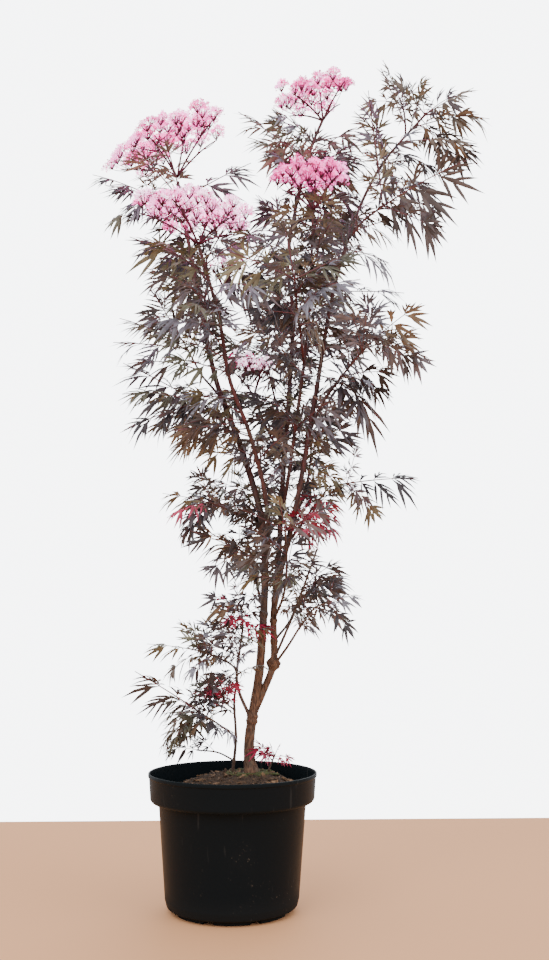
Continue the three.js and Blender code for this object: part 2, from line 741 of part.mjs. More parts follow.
// A blade as a closed solid: thick along its ribs and sharp at its edge, from the root inside the stem
// out to the tip of each lobe.
function bladeSolid({ side, above, size, stalkAt, lobes, shape, thin }) {
  const thick = shape.halfThickness * size;
  const halfWidth = Math.min(shape.stalkHalfWidth, 0.6 * thin);
  const positions = [];
  const index = [];
  const corner = (point, sideways = 0, upward = 0) => {
    const spot = point.clone().addScaledVector(side, sideways).addScaledVector(above, upward);
    positions.push(spot.x, spot.y, spot.z);
    return positions.length / 3 - 1;
  };
  const ribAt = (share, height) => ({
    top: corner(stalkAt(share), 0, height),
    under: corner(stalkAt(share), 0, -height),
  });
  const face = (a, b, c, flipped) => index.push(...(flipped ? [a, c, b] : [a, b, c]));
  const fan = (rib, outline, flipped) => {
    for (let i = 0; i + 1 < outline.length; i += 1) {
      face(rib.top, outline[i], outline[i + 1], flipped);
      face(rib.under, outline[i + 1], outline[i], flipped);
    }
  };
  const shoulder = ({ root, tip, length }, hand) => {
    const wide = above.clone().cross(tip.clone().sub(root)).normalize();
    const spot = root.clone().lerp(tip, shape.widestShare);
    return corner(spot.addScaledVector(wide, hand * shape.lobeWidth * length));
  };

  let rib = null;
  let edges = { right: corner(stalkAt(0), halfWidth), left: corner(stalkAt(0), -halfWidth) };
  const rootTop = corner(stalkAt(0), 0, halfWidth);
  face(rootTop, edges.left, edges.right);
  const jointSize = (2 * jointHalf) / size;
  shape.pairShares.forEach((share, pair) => {
    const here = ribAt(share, thick);
    const next = {};
    const before = rib ?? { top: rootTop, under: here.under };
    if (!rib) {
      face(here.under, edges.right, edges.left);
    }
    for (const [name, hand, which] of [['right', 1, 0], ['left', -1, 1]]) {
      const lobe = lobes[pair * 2 + which];
      const near = corner(stalkAt(share - jointSize), hand * jointHalf);
      const outer = corner(stalkAt(share + jointSize), hand * jointHalf);
      const flipped = name === 'left';
      fan(here, [near, shoulder(lobe, -hand), corner(lobe.tip), shoulder(lobe, hand), outer], flipped);
      face(before.top, edges[name], near, flipped);
      face(before.top, near, here.top, flipped);
      face(before.under, near, edges[name], flipped);
      if (rib) {
        face(before.under, here.under, near, flipped);
      }
      next[name] = outer;
    }
    rib = here;
    edges = next;
  });
  const last = lobes.at(-1);
  fan(rib, [edges.right, shoulder(last, -1), corner(last.tip), shoulder(last, 1), edges.left], false);
  const geometry = new THREE.BufferGeometry();
  geometry.setAttribute('position', new THREE.Float32BufferAttribute(positions, 3));
  geometry.setIndex(index);
  return solidOf(geometry);
}

// A knot of old wood on a limb.
function burlSolid(limb, burl) {
  const spot = limb.path.getPointAt(burl.share);
  const knot = new THREE.IcosahedronGeometry(burl.radius, 0).scale(1, 1, 0.8);
  return solidOf(knot.translate(spot.x, spot.y, spot.z));
}

function sidesOf(part) {
  if (part.name === 'trunk') {
    return stemSides.trunk;
  }
  return part.pairs ? stemSides.leafy : stemSides.bare;
}

// How many rings a stretch of stem needs, so that its straight sides follow its bends.
function ringsOf(path, from, to) {
  const steps = 24;
  let bend = 0;
  for (let i = 0; i < steps; i += 1) {
    const here = path.getTangentAt(from + ((to - from) * i) / steps);
    const next = path.getTangentAt(Math.min(1, from + ((to - from) * (i + 1)) / steps));
    bend += here.angleTo(next);
  }
  const length = (to - from) * path.getLength();
  return Math.max(1, Math.ceil(length / longestRing), Math.ceil(bend / sharpestRing));
}

// One part of a limb: its own stretch, the foot of each limb that grows from it, and its leaves.
function partSolid(limb, part, from) {
  const flare = part.flare ?? 0;
  const radiusAt = (share, angle) => {
    const lobes = 1 + flareLobes * Math.cos(3 * angle + 1);
    return limb.radiusAt(share) + flare * Math.exp((-share * limb.length) / flareHeight) * lobes;
  };
  const rings = ringsOf(limb.path, from, part.to) + (flare ? flareRings : 0);
  const stands = Boolean(limb.foot) && from === 0;
  const solids = [rodSolid(limb.path, from, part.to, radiusAt, sidesOf(part), rings, stands)];
  for (const child of Object.values(limbs)) {
    const grows = child.parent && limbs[child.parent[0]] === limb;
    if (grows && child.parent[1] > from && child.parent[1] <= part.to) {
      const collar = child.collar / child.length;
      const rings = ringsOf(child.path, 0, collar);
      solids.push(rodSolid(child.path, 0, collar, child.radiusAt, stemSides.bare, rings));
    }
  }
  if (part.burl) {
    solids.push(burlSolid(limb, part.burl));
  }
  for (const blade of part.blades ?? []) {
    solids.push(bladeSolid(blade));
  }
  return joined(solids);
}

const materials = {
  pot: new THREE.MeshStandardMaterial({ color: 0x212122, roughness: 0.45, metalness: 0 }),
  soil: new THREE.MeshStandardMaterial({ color: 0x2c2119, roughness: 1, metalness: 0 }),
  bark: new THREE.MeshStandardMaterial({ color: 0x72513f, roughness: 0.85, metalness: 0 }),
  stem: new THREE.MeshStandardMaterial({ color: 0x5a3530, roughness: 0.6, metalness: 0 }),
  leaf: new THREE.MeshStandardMaterial({ color: 0x3a2d2c, roughness: 0.55, metalness: 0 }),
  redLeaf: new THREE.MeshStandardMaterial({ color: 0x98424c, roughness: 0.5, metalness: 0 }),
  blossom: new THREE.MeshStandardMaterial({ color: 0xd7b9c7, roughness: 0.7, metalness: 0 }),
};

function materialOf(part) {
  if (part.head) {
    return materials.blossom;
  }
  if (part.pairs) {
    return part.name.startsWith('red') ? materials.redLeaf : materials.leaf;
  }
  return part.name === 'trunk' || part.name === 'second_stem' ? materials.bark : materials.stem;
}

routeLimbs();
claimLimbs();
claimHeads();
claimRim();

const group = new THREE.Group();
group.name = 'potted_black_elder';
group.add(meshOf('pot', potSolid(), materials.pot));
group.add(meshOf('soil', soilSolid(), materials.soil));

const seed = 20260;
const dice = diceFrom(seed);
for (const limb of Object.values(limbs)) {
  limb.collar = limb.parent ? collarLength(limb) : 0;
}
// Side shoots leaf out first, because they reach furthest out.
for (const limb of Object.values(limbs).reverse()) {
  let from = limb.collar / limb.length;
  for (const part of limb.parts) {
    if (part.pairs) {
      part.blades = growLeaves(limb, part, from, dice);
    }
    from = part.to;
  }
}
for (const limb of Object.values(limbs)) {
  const gapShare = clearance / limb.length;
  let from = limb.parent ? limb.collar / limb.length + gapShare : 0;
  for (const part of limb.parts) {
    group.add(meshOf(part.name, partSolid(limb, part, from), materialOf(part)));
    from = part.to + gapShare;
  }
}

export default group;
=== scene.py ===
# A black elder in its nursery pot: cut purple-black leaves in pairs on bare wine-red stems, flat heads
# of pink blossom, a short brown trunk and a black pot of compost.
import math
import bpy
import numpy as np
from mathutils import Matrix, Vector


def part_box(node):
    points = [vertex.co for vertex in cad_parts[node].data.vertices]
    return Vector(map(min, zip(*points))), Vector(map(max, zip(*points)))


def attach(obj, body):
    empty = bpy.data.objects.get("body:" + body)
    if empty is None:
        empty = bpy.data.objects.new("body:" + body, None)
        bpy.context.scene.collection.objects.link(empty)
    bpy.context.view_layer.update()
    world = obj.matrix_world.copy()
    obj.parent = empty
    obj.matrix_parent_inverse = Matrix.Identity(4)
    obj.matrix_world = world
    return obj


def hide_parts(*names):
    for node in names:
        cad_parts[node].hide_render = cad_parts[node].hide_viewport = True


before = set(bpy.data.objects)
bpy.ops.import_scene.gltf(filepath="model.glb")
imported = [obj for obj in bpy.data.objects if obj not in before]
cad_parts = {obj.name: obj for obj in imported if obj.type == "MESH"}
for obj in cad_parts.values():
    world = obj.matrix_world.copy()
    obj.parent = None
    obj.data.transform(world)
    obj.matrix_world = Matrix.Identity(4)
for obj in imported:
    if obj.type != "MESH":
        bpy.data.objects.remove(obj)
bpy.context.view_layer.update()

metres = 0.001  # the plan below is in millimetres
degree = math.pi / 180
circle = 2 * math.pi
up = np.array([0.0, 0.0, 1.0])
view = {"focalPixels": 1061.0, "frameHeight": 960, "sensor": 36, "nearest": 0.05, "place": (0, -1.814, 0.48),
        "yaw": 2.197, "pitch": 7.198}


def addThing(name, data):
    thing = bpy.data.objects.new(name, data)
    bpy.context.collection.objects.link(thing)
    return thing


def addAimed(name, data, place, ahead):
    thing = addThing(name, data)
    thing.location = place
    thing.rotation_euler = ahead.to_track_quat("-Z", "Y").to_euler()
    return thing


def setCamera():
    data = bpy.data.cameras.new("eyeLevelCamera")
    data.sensor_fit = "VERTICAL"
    data.sensor_height = view["sensor"]
    data.lens = view["focalPixels"] / view["frameHeight"] * view["sensor"]
    data.clip_start = view["nearest"]
    yaw, pitch = view["yaw"] * degree, view["pitch"] * degree
    ahead = Vector((math.sin(yaw) * math.cos(pitch), math.cos(yaw) * math.cos(pitch), math.sin(pitch)))
    bpy.context.scene.camera = addAimed("eyeLevelCamera", data, view["place"], ahead)


setCamera()
print("camera set")

# The growth plan, the same as the solid part's. A limb starts at a share of its parent's length, or on
# the compost, and runs through its points. It is cut into parts, each up to a share of its length: bare
# wood, leaves in pairs, or a flower head.
soilTop = 213.0
clearance = 0.3
trunkFoot = (31, 30, soilTop + clearance)


def newLimb(start, points, radius, *parts, taper=1):
    return {"start": start, "isChild": len(start) == 2, "points": points, "radius": radius, "parts": parts,
            "taper": taper}


def wood(name, to):
    return {"name": name, "to": to}


def leafy(name, to, pairs, leaf, turn=0, end=0, bare=0.12):
    return {"name": name, "to": to, "pairs": pairs, "leaf": leaf, "turn": turn, "end": end, "bare": bare}


def twig(start, points, radius, name, pairs, leaf, end, bare=0.12, turn=0):
    return newLimb(start, points, radius, leafy(name, 1, pairs, leaf, turn, end, bare))


def bloom(name, middle, width, depth, lean, dome, rings, clusters, florets):
    head = {"middle": middle, "width": width, "depth": depth, "lean": lean, "dome": dome, "rings": rings,
            "clusters": clusters, "florets": florets}
    return {"name": name, "to": 1, "head": head}


limbs = {
    "leader": newLimb(
        trunkFoot, [(27, 30, 256), (46, 30, 393), (54, 30, 560), (49, 32, 641), (17, 40, 757), (-33, 50, 895),
                    (-60, 58, 1021), (-109, 72, 1285)], (9.4, 2.9),
        wood("trunk", 0.21), wood("leader_bough", 0.44), leafy("leader_leaves_low", 0.7, 3, 150, 70),
        leafy("leader_leaves_high", 0.96, 3, 158, 10),
        bloom("leader_flower_head", (-132, 72, 1362), 254, 196, 25, 38, [(5, 1), (2, 0.42)], 42, 54),
        taper=0.65),
    "front": newLimb(
        ("leader", 0.31), [(60, 14, 622), (51, -8, 694), (28, -25, 780), (-8, -42, 875), (-27, -55, 980),
                           (-63, -75, 1104)], (4.4, 2.7),
        wood("front_bough", 0.3), leafy("front_leaves_low", 0.62, 2, 148, 20),
        leafy("front_leaves_high", 0.94, 3, 155),
        bloom("front_flower_head", (-70, -75, 1166), 218, 190, -6, 36, [(5, 1), (2, 0.42)], 38, 50)),
    "right": newLimb(
        ("leader", 0.087), [(53, 30, 353), (68, 30, 393), (71, 30, 500), (106, 5, 660), (142, -8, 865),
                            (172, -18, 1039), (213, -5, 1178), (264, 8, 1285), (350, 26, 1394)], (6.6, 2),
        wood("second_stem", 0.22), wood("right_bough", 0.47), leafy("right_leaves_low", 0.725, 2, 145, 80),
        leafy("right_leaves_high", 0.87, 2, 150, 20), leafy("right_leaves_top", 1, 2, 128, 0, 112),
        taper=0.75),
    "topFan": twig(("right", 0.945), [(308, 14, 1382), (300, 10, 1410)], (1.9, 1.3),
                   "top_fan_leaves", 1, 86, 92),
    "middle": newLimb(
        ("right", 0.175), [(80, 38, 610), (86, 45, 715), (97, 50, 860), (105, 56, 1022), (96, 59, 1110),
                           (106, 62, 1196), (142, 68, 1346), (163, 70, 1400)], (5.2, 2.6),
        wood("middle_bough", 0.22), leafy("middle_leaves_low", 0.46, 2, 150, 70),
        leafy("middle_leaves_mid", 0.7, 3, 150, 10), leafy("middle_leaves_high", 0.95, 3, 155),
        bloom("middle_flower_head", (143, 70, 1456), 168, 150, 15, 26, [(4, 1), (1, 0.2)], 24, 46)),
    "inner": newLimb(
        ("middle", 0.155), [(92, 20, 700), (105, 2, 795), (115, -12, 870), (127, -24, 969), (135, -36, 1154),
                            (136, -39, 1182)], (3.5, 2.3),
        wood("inner_bough", 0.26), leafy("inner_leaves_low", 0.6, 2, 140, 40),
        leafy("inner_leaves_high", 0.95, 2, 140),
        bloom("inner_flower_head", (130, -40, 1246), 152, 140, -4, 24, [(4, 1), (1, 0.2)], 22, 46)),
    "left": newLimb(("leader", 0.079), [(7, 25, 361), (11, 20, 421), (16, 10, 461), (12, 2, 495)], (3.2, 1.5),
                    wood("left_stem", 0.45), leafy("left_leaves", 1, 2, 84, 0, 60)),
    "low": newLimb((0, 36, soilTop + clearance),
                   [(5, 27, 271), (2, 22, 330), (4, 17, 386), (-24, 5, 406), (-60, -12, 420)], (2.7, 1.4),
                   wood("low_stem", 0.62), leafy("low_leaves", 1, 2, 80, 0, 98, 0.45)),
    "lowLeft": twig(("low", 0.235), [(-17, 12, 291), (-60, -2, 320)], (1.9, 1.2),
                    "low_left_leaves", 2, 92, 150, 0.6),
    "overRim": twig(("low", 0.08), [(-25, 38, 246), (-62, 42, 250)], (1.7, 1.1), "rim_leaves", 1, 52, 62),
    "arch": twig(("right", 0.74), [(200, -38, 1132), (222, -50, 1157), (258, -62, 1182)], (2.8, 1.5),
                 "arching_leaves", 2, 140, 184, 0.35),
    "reach": twig(("right", 0.43), [(150, -8, 838), (171, -20, 869), (221, -45, 929), (243, -50, 950)],
                  (2.8, 1.4), "reaching_leaves", 2, 112, 115, 0.35),
    "spur": twig(("right", 0.262), [(114, 25, 630), (144, 34, 672), (170, 38, 702), (204, 43, 710)],
                 (2.6, 1.3), "spur_leaves", 2, 96, 136, 0.45),
    "leftUpper": twig(("leader", 0.6), [(-40, 40, 880), (-56, 32, 897), (-86, 20, 948)], (2.5, 1.4),
                      "left_upper_leaves", 1, 140, 140),
    "leftTip": twig(("leader", 0.89), [(-114, 62, 1214), (-154, 56, 1240)], (2.4, 1.4),
                    "left_tip_leaves", 1, 118, 132),
    "leftMiddle": twig(("leader", 0.52), [(-34, 32, 828), (-68, 26, 852)], (2.3, 1.5),
                       "left_middle_leaves", 1, 140, 165, turn=20),
    "leftLower": twig(("leader", 0.377), [(12, 27, 650), (-29, 18, 667), (-44, 12, 672)], (2.4, 1.3),
                      "left_lower_leaves", 2, 92, 96, 0.45),
    "leftTuft": twig(("leader", 0.3), [(36, 10, 570), (18, -4, 584), (6, -10, 590)], (2.2, 1.3),
                     "left_tuft_leaves", 1, 90, 110),
    "cutShoot": newLimb(("right", 0.086), [(108, 38, 490), (146, 42, 593)], (2.4, 1.8), wood("cut_shoot", 1)),
    "rightLow": twig(("right", 0.077), [(92, 8, 425), (117, 2, 464), (140, -5, 492), (164, -10, 500)],
                     (2.5, 1.3), "right_low_leaves", 2, 72, 66, 0.5),
    "backHigh": twig(("middle", 0.3), [(84, 95, 830), (70, 140, 905), (60, 172, 975)], (2.9, 1.4),
                     "back_high_leaves", 2, 145, 130, 0.4),
    "backRight": twig(("right", 0.3), [(125, 60, 690), (140, 105, 765), (140, 140, 835)], (2.9, 1.4),
                      "back_right_leaves", 2, 132, 120, 0.45),
    "backLeft": twig(("leader", 0.72), [(-58, 100, 1040), (-52, 134, 1110), (-56, 152, 1165)], (2.7, 1.4),
                     "back_left_leaves", 2, 135, 120, 0.45),
    "frontHigh": twig(("inner", 0.5), [(112, -60, 950), (102, -100, 1000), (98, -120, 1032)], (2.6, 1.4),
                      "front_high_leaves", 2, 140, 130, 0.45),
    "backLow": twig(("leader", 0.245), [(38, 72, 545), (24, 112, 620), (18, 142, 690)], (2.7, 1.4),
                    "back_low_leaves", 2, 128, 110, 0.4),
    "frontLow": twig(("right", 0.145), [(85, -14, 515), (88, -50, 570), (84, -74, 618)], (2.6, 1.4),
                     "front_low_leaves", 2, 108, 95, 0.45),
    "rightBack": twig(("right", 0.115), [(100, 68, 470), (124, 92, 528)], (2.4, 1.4),
                      "right_back_leaves", 2, 100, 90, 0.5),
    "redTuft": twig(("low", 0.42), [(-12, 8, 332), (-17, 0, 350)], (1.6, 1.2), "red_tuft", 1, 44, 40),
    "sprout": twig((60, 40, soilTop + clearance), [(66, 40, 228), (72, 38, 243)], (1.7, 1.2),
                   "red_sprout", 1, 36, 30),
    "paleHead": newLimb(("middle", 0.28), [(62, 56, 800), (34, 60, 872)], (2.2, 1.8),
                        bloom("pale_flower_head", (31, 60, 930), 86, 84, 0, 20, [(3, 1)], 11, 16)),
    "budHead": newLimb(("leader", 0.74), [(-42, 76, 1050), (-20, 82, 1080)], (2, 1.4),
                       bloom("bud_head", (-12, 84, 1122), 68, 60, 0, 14, [(3, 1)], 9, 9)),
}
pot = {
    "height": 220, "wall": 2.4, "footRadius": 96, "cornerRadius": 110, "cornerHeight": 20,
    "bodyTopRadius": 122, "collarFootRadius": 136, "rimRadius": 140, "collarHeight": 45, "notches": 8,
    "notchSize": (22, 16, 4.5), "rounding": 1.6, "segments": 256, "rimRows": (24, 12, 2), "rimSides": 32,
    "rimRoom": 6,
}


def newShape(shares, angles, lengths, width, droop):
    return {"shares": shares, "angles": angles, "lengths": lengths, "width": width, "droop": droop}


leafShape = newShape((0.34, 0.58), (54, 40), (0.45, 0.43), 0.112, 0.24)
hangingShape = newShape((0.36, 0.56), (70, 52), (0.5, 0.5), 0.112, 0.62)
smallLeafShape = newShape((0.5,), (50,), (0.42,), 0.13, 0.24)
blossomShape = newShape((0.6, 0.8), (78, 66), (0.3, 0.25), 0.3, 0.05)
growth = {
    "blossomArch": 0.3, "leafGap": 0.9, "smallLeaf": 60, "stalkRoom": 1.5, "rootOut": 0.3, "rootDepth": 4,
    "turn": 14, "size": (0.88, 1.06), "rise": (48, 70), "tipRise": (4, 12), "droop": (0.04, 0.2),
    "twist": (22, 58), "limbStep": 18, "collarRoom": 1.5, "lowestLeaf": 225, "seed": 20260,
    "tries": [(0, 1), (22, 1), (-22, 1), (0, 0.8), (42, 0.85), (-42, 0.85), (20, 0.62), (-20, 0.62)],
}


def unit(vectors):
    return vectors / np.linalg.norm(vectors, axis=-1, keepdims=True)


def partsWith(kind, names):
    return [part for name in names for part in limbs[name]["parts"] if kind in part]


class Dice:
    # The same throws as the solid part's: state becomes state * 16807 mod 2^31 - 1.
    def __init__(self, seed):
        self.state, self.modulus = seed, 2 ** 31 - 1

    def __call__(self, low, high):
        self.state = self.state * 16807 % self.modulus
        return low + (high - low) * self.state / self.modulus


class Path:
    # A centripetal Catmull-Rom curve through its points, read by share of its length.
    def __init__(self, points):
        points = np.array(points, float)
        self.count = len(points)
        self.points = np.vstack([2 * points[0] - points[1], points, 2 * points[-1] - points[-2]])
        self.steps = np.linspace(0, 1, 201)
        chords = np.linalg.norm(np.diff(self.curve(self.steps), axis=0), axis=1)
        self.run = np.concatenate([[0], np.cumsum(chords)])
        self.length = self.run[-1]

    def curve(self, t):
        place = np.clip(t, 0, 1) * (self.count - 1)
        i = np.minimum(np.floor(place).astype(int), self.count - 2)
        w = (place - i)[:, None]
        p0, p1, p2, p3 = (self.points[i + k] for k in range(4))
        d0, d1, d2 = (np.linalg.norm(b - a, axis=1)[:, None] ** 0.5
                      for a, b in ((p0, p1), (p1, p2), (p2, p3)))
        t1 = ((p1 - p0) / d0 - (p2 - p0) / (d0 + d1) + (p2 - p1) / d1) * d1
        t2 = ((p2 - p1) / d1 - (p3 - p1) / (d1 + d2) + (p3 - p2) / d2) * d1
        return p1 + t1 * w + (-3 * p1 + 3 * p2 - 2 * t1 - t2) * w ** 2 + (2 * p1 - 2 * p2 + t1 + t2) * w ** 3

    def stepAt(self, share):
        return np.interp(np.atleast_1d(share) * self.length, self.run, self.steps)

    def at(self, share):
        return self.curve(self.stepAt(share))

    def ahead(self, share):
        t = self.stepAt(share)
        return unit(self.curve(t + 1e-4) - self.curve(t - 1e-4))


def placesOn(limb, share):
    # Middles, ways ahead and two directions across: Y x ahead, and ahead x that.
    ahead = limb["path"].ahead(share)
    across = unit(np.cross([0.0, 1.0, 0.0], ahead))
    return limb["path"].at(share), ahead, across, np.cross(ahead, across)


def radiusAt(limb, share):
    thick, thin = limb["radius"]
    return thick + (thin - thick) * share ** limb["taper"]


class TakenSpace:
    # Straight pieces, one a row: start, end, radius and the owning limb's number.
    rows = np.zeros((0, 8))

    def add(self, start, end, radius, owner=-1):
        self.rows = np.vstack([self.rows, (*start, *end, radius, owner)])


def gapsTo(start, end, rows):
    # The shortest way from one straight piece to each row's, less the row's radius.
    startB, endB = rows[:, 0:3], rows[:, 3:6]
    alongA, alongB, apart = end - start, endB - startB, start - startB
    a = alongA @ alongA
    e = (alongB * alongB).sum(1)
    b, c, f = alongB @ alongA, apart @ alongA, (alongB * apart).sum(1)
    below = a * e - b * b
    s = np.where(below > 1e-9 * a * e, np.clip((b * f - c * e) / np.maximum(below, 1e-12), 0, 1), 0)
    t = (b * s + f) / e
    s = np.where(t < 0, np.clip(-c / a, 0, 1), np.where(t > 1, np.clip((b - c) / a, 0, 1), s))
    t = np.clip(t, 0, 1)
    return np.linalg.norm(apart + alongA * s[:, None] - alongB * t[:, None], axis=1) - rows[:, 6]


def routeLimbs():
    for number, limb in enumerate(limbs.values()):
        start = limb["start"]
        if limb["isChild"]:
            start = limbs[start[0]]["path"].at(start[1])[0]
        path = Path([start, *limb["points"]])
        limb.update(path=path, number=number)
        count = math.ceil(path.length / growth["limbStep"])
        ends = path.at(np.arange(count + 1) / count)
        for i in range(count):
            taken.add(ends[i], ends[i + 1], radiusAt(limb, i / count), number)


def collarShare(limb):
    # Where the limb has left its parent's space.
    if not limb["isChild"]:
        return 0
    rows = taken.rows[taken.rows[:, 7] == limbs[limb["start"][0]]["number"]]
    path, run = limb["path"], 2
    while True:
        run += 1
        here, after = path.at([run / path.length, (run + 1) / path.length])
        if (gapsTo(here, after, rows) > radiusAt(limb, run / path.length) + growth["collarRoom"]).all():
            return run / path.length


class Blade:
    # One leaf or spray: its stalk is root + ahead * size * share - up * droop * size * share^2, and its
    # lobes leave it in pairs, with one at the end.
    def __init__(self, root, ahead, size, droop, twist, shape):
        level = unit(np.cross(ahead, up))
        lift = unit(np.cross(level, ahead))
        self.side = level * math.cos(twist) + lift * math.sin(twist)
        self.above = unit(np.cross(self.side, ahead))
        self.root, self.ahead, self.size, self.droop, self.shape = root, ahead, size, droop, shape
        self.lobes = [self.lobe(share, angle, part * size, hand) for share, angle, part
                      in zip(shape["shares"], shape["angles"], shape["lengths"]) for hand in (1, -1)]
        last = shape["shares"][-1]
        self.lobes.append((self.stalk(last), self.stalk(1.0), (1 - last) * size))

    def stalk(self, share):
        share = np.asarray(share, float)[..., None]
        return self.root + self.ahead * share * self.size - up * self.droop * self.size * share ** 2

    def lobe(self, share, angle, length, hand):
        angle *= degree
        along = unit(self.ahead - up * 2 * self.droop * share)
        start = self.stalk(share)
        sideways = self.side * length * hand * math.sin(angle)
        tip = start + along * length * math.cos(angle) + sideways - up * length * self.shape["droop"]
        return start, tip, length

    def pieces(self):
        # Start, end, radius and whether it is stalk, for each straight piece.
        joints = self.stalk([0.1, *self.shape["shares"]])
        return ([(start, end, growth["stalkRoom"], True) for start, end in zip(joints, joints[1:])]
                + [(root, tip, self.shape["width"] * length, False) for root, tip, length in self.lobes])

    def isClear(self, rows, owner, gap, breadth=1):
        # True where every piece keeps the gap from the rows. The stalk may touch its owner.
        foreign = rows[rows[:, 7] != owner]
        return all((gapsTo(start, end, foreign if isStalk else rows) > breadth * radius + gap).all()
                   for start, end, radius, isStalk in self.pieces())

    def claim(self, owner):
        taken.add(self.stalk(0.1), self.stalk(self.shape["shares"][-1]), growth["stalkRoom"], owner)
        for root, tip, length in self.lobes:
            taken.add(root, tip, self.shape["width"] * length)


def shapeFor(size):
    return smallLeafShape if size < growth["smallLeaf"] else leafShape


def sideBlade(limb, share, angle, rise, size, droop, twist):
    # A leaf that stands at an angle round the limb and leans rise degrees away from it.
    middle, ahead, across, behind = (value[0] for value in placesOn(limb, share))
    outward = across * math.cos(angle) + behind * math.sin(angle)
    way = ahead * math.cos(rise * degree) + outward * math.sin(rise * degree)
    root = middle + outward * growth["rootOut"] * radiusAt(limb, share)
    return Blade(root, way, size, droop, twist, shapeFor(size))


def domePoint(head, reach, angle):
    # A place on the head: reach * half width along a leaning ellipse, sunk by dome * reach^2.
    lean = head["lean"] * degree
    x = reach * 0.5 * head["width"] * np.cos(angle)
    y = reach * 0.5 * head["depth"] * np.sin(angle)
    fall = head["dome"] * reach ** 2
    middle = head["middle"]
    return np.stack([middle[0] + x * math.cos(lean) + fall * math.sin(lean), middle[1] + y,
                     middle[2] + 0.5 * head["dome"] + x * math.sin(lean) - fall * math.cos(lean)], -1)


def headBlades(limb, head):
    middle, ahead, across, behind = (value[0] for value in placesOn(limb, 1.0))
    arch = growth["blossomArch"]
    for count, reach in head["rings"]:
        for i in range(count):
            angle = (i + 0.5 * reach) * circle / count
            root = middle - 2 * ahead + np.array([math.cos(angle), math.sin(angle), 0])
            aim = domePoint(head, reach, angle) - root
            size = np.linalg.norm(aim)
            yield Blade(root, aim / size + up * arch, size, arch, 0, blossomShape)


def claimHeadsAndRim():
    for name, limb in limbs.items():
        for part in partsWith("head", [name]):
            part["blades"] = list(headBlades(limb, part["head"]))
            for blade in part["blades"]:
                blade.claim(limb["number"])
    sides, radius = pot["rimSides"], pot["rimRadius"]
    for i in range(sides):
        for drop in pot["rimRows"]:
            corners = [(radius * math.cos(a), radius * math.sin(a), pot["height"] - drop)
                       for a in (i * circle / sides, (i + 1) * circle / sides)]
            taken.add(*corners, pot["rimRoom"])


def growLeaves(limb, part, first, dice):
    grown = []
    start = first + (part["to"] - first) * part["bare"]
    last = part["to"] - growth["rootDepth"] / limb["path"].length

    def grow(share, azimuth, size, rise):
        tilt = dice(-1, 1)
        least, most = growth["twist"]
        twist = (math.copysign(least, tilt) + tilt * (most - least)) * degree
        droop = dice(*growth["droop"])
        for turn, scale in growth["tries"]:
            blade = sideBlade(limb, share, (azimuth + turn) * degree, rise, size * scale, droop, twist)
            lowest = min(tip[2] for root, tip, length in blade.lobes)
            if lowest >= growth["lowestLeaf"] and blade.isClear(taken.rows, limb["number"], growth["leafGap"]):
                blade.claim(limb["number"])
                grown.append(blade)
                return

    for pair in range(part["pairs"]):
        share = start + (last - start) * pair / (part["pairs"] - 1) if part["pairs"] > 1 else last
        for hand in (0, 180):
            quarter = (part["pairs"] - 1 - pair) * 90
            azimuth = part["turn"] + quarter + hand + dice(-growth["turn"], growth["turn"])
            size = part["leaf"] * dice(*growth["size"])
            grow(share, azimuth, size, dice(*growth["rise"]))
    if part["end"]:
        azimuth = dice(0, 360)
        grow(last, azimuth, part["end"], dice(*growth["tipRise"]))
    return grown


taken = TakenSpace()
routeLimbs()
limbRows = taken.rows
claimHeadsAndRim()
for limb in limbs.values():
    limb["collar"] = collarShare(limb)
dice = Dice(growth["seed"])
for limb in reversed(limbs.values()):
    first = limb["collar"]
    for part in limb["parts"]:
        if "pairs" in part:
            part["blades"] = growLeaves(limb, part, first, dice)
        first = part["to"]
print("growth planned:", sum(len(part["blades"]) for part in partsWith("pairs", limbs)), "leaves")


class Surface:
    # Collects vertices and faces as arrays, with a tone for each face, and makes one mesh of them.
    def __init__(self):
        self.verts, self.faces, self.tones, self.count = [], {4: [], 3: []}, {4: [], 3: []}, 0

    def add(self, verts, *faceArrays, tones=0):
        self.verts.append(verts.reshape(-1, 3))
        for faces in faceArrays:
            self.faces[faces.shape[1]].append(faces + self.count)
            self.tones[faces.shape[1]].append(np.broadcast_to(tones, len(faces)))
        self.count += len(self.verts[-1])

    def build(self, name, materials, slot, nodes=(), smooth=True):
        rows = [row for size in self.faces for row in self.faces[size]]
        corners = np.concatenate([row.ravel() for row in rows])
        sizes = np.concatenate([np.full(len(row), row.shape[1]) for row in rows])
        tones = np.concatenate([row for size in self.tones for row in self.tones[size]])
        mesh = bpy.data.meshes.new(name)
        mesh.vertices.add(self.count)
        mesh.vertices.foreach_set("co", (np.concatenate(self.verts) * metres).ravel())
        mesh.loops.add(len(corners))
        mesh.loops.foreach_set("vertex_index", corners.astype(np.int32))
        mesh.polygons.add(len(sizes))
        mesh.polygons.foreach_set("loop_start", (np.cumsum(sizes) - sizes).astype(np.int32))
        for material in materials:
            mesh.materials.append(material)
        mesh.polygons.foreach_set("material_index", tones.astype(np.int32))
        mesh.polygons.foreach_set("use_smooth", np.full(len(sizes), smooth))
        mesh.update(calc_edges=True)
        mesh.validate()
        piece = addThing(name, mesh)
        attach(piece, "root")
        if nodes:
            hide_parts(*nodes)
        print(name, (sizes - 2).sum(), "triangles")


def anglesOf(sides):
    return np.arange(sides) * circle / sides


def ringAt(radius, angle, height):
    return np.stack([radius * np.cos(angle), radius * np.sin(angle), height + 0 * angle], -1)


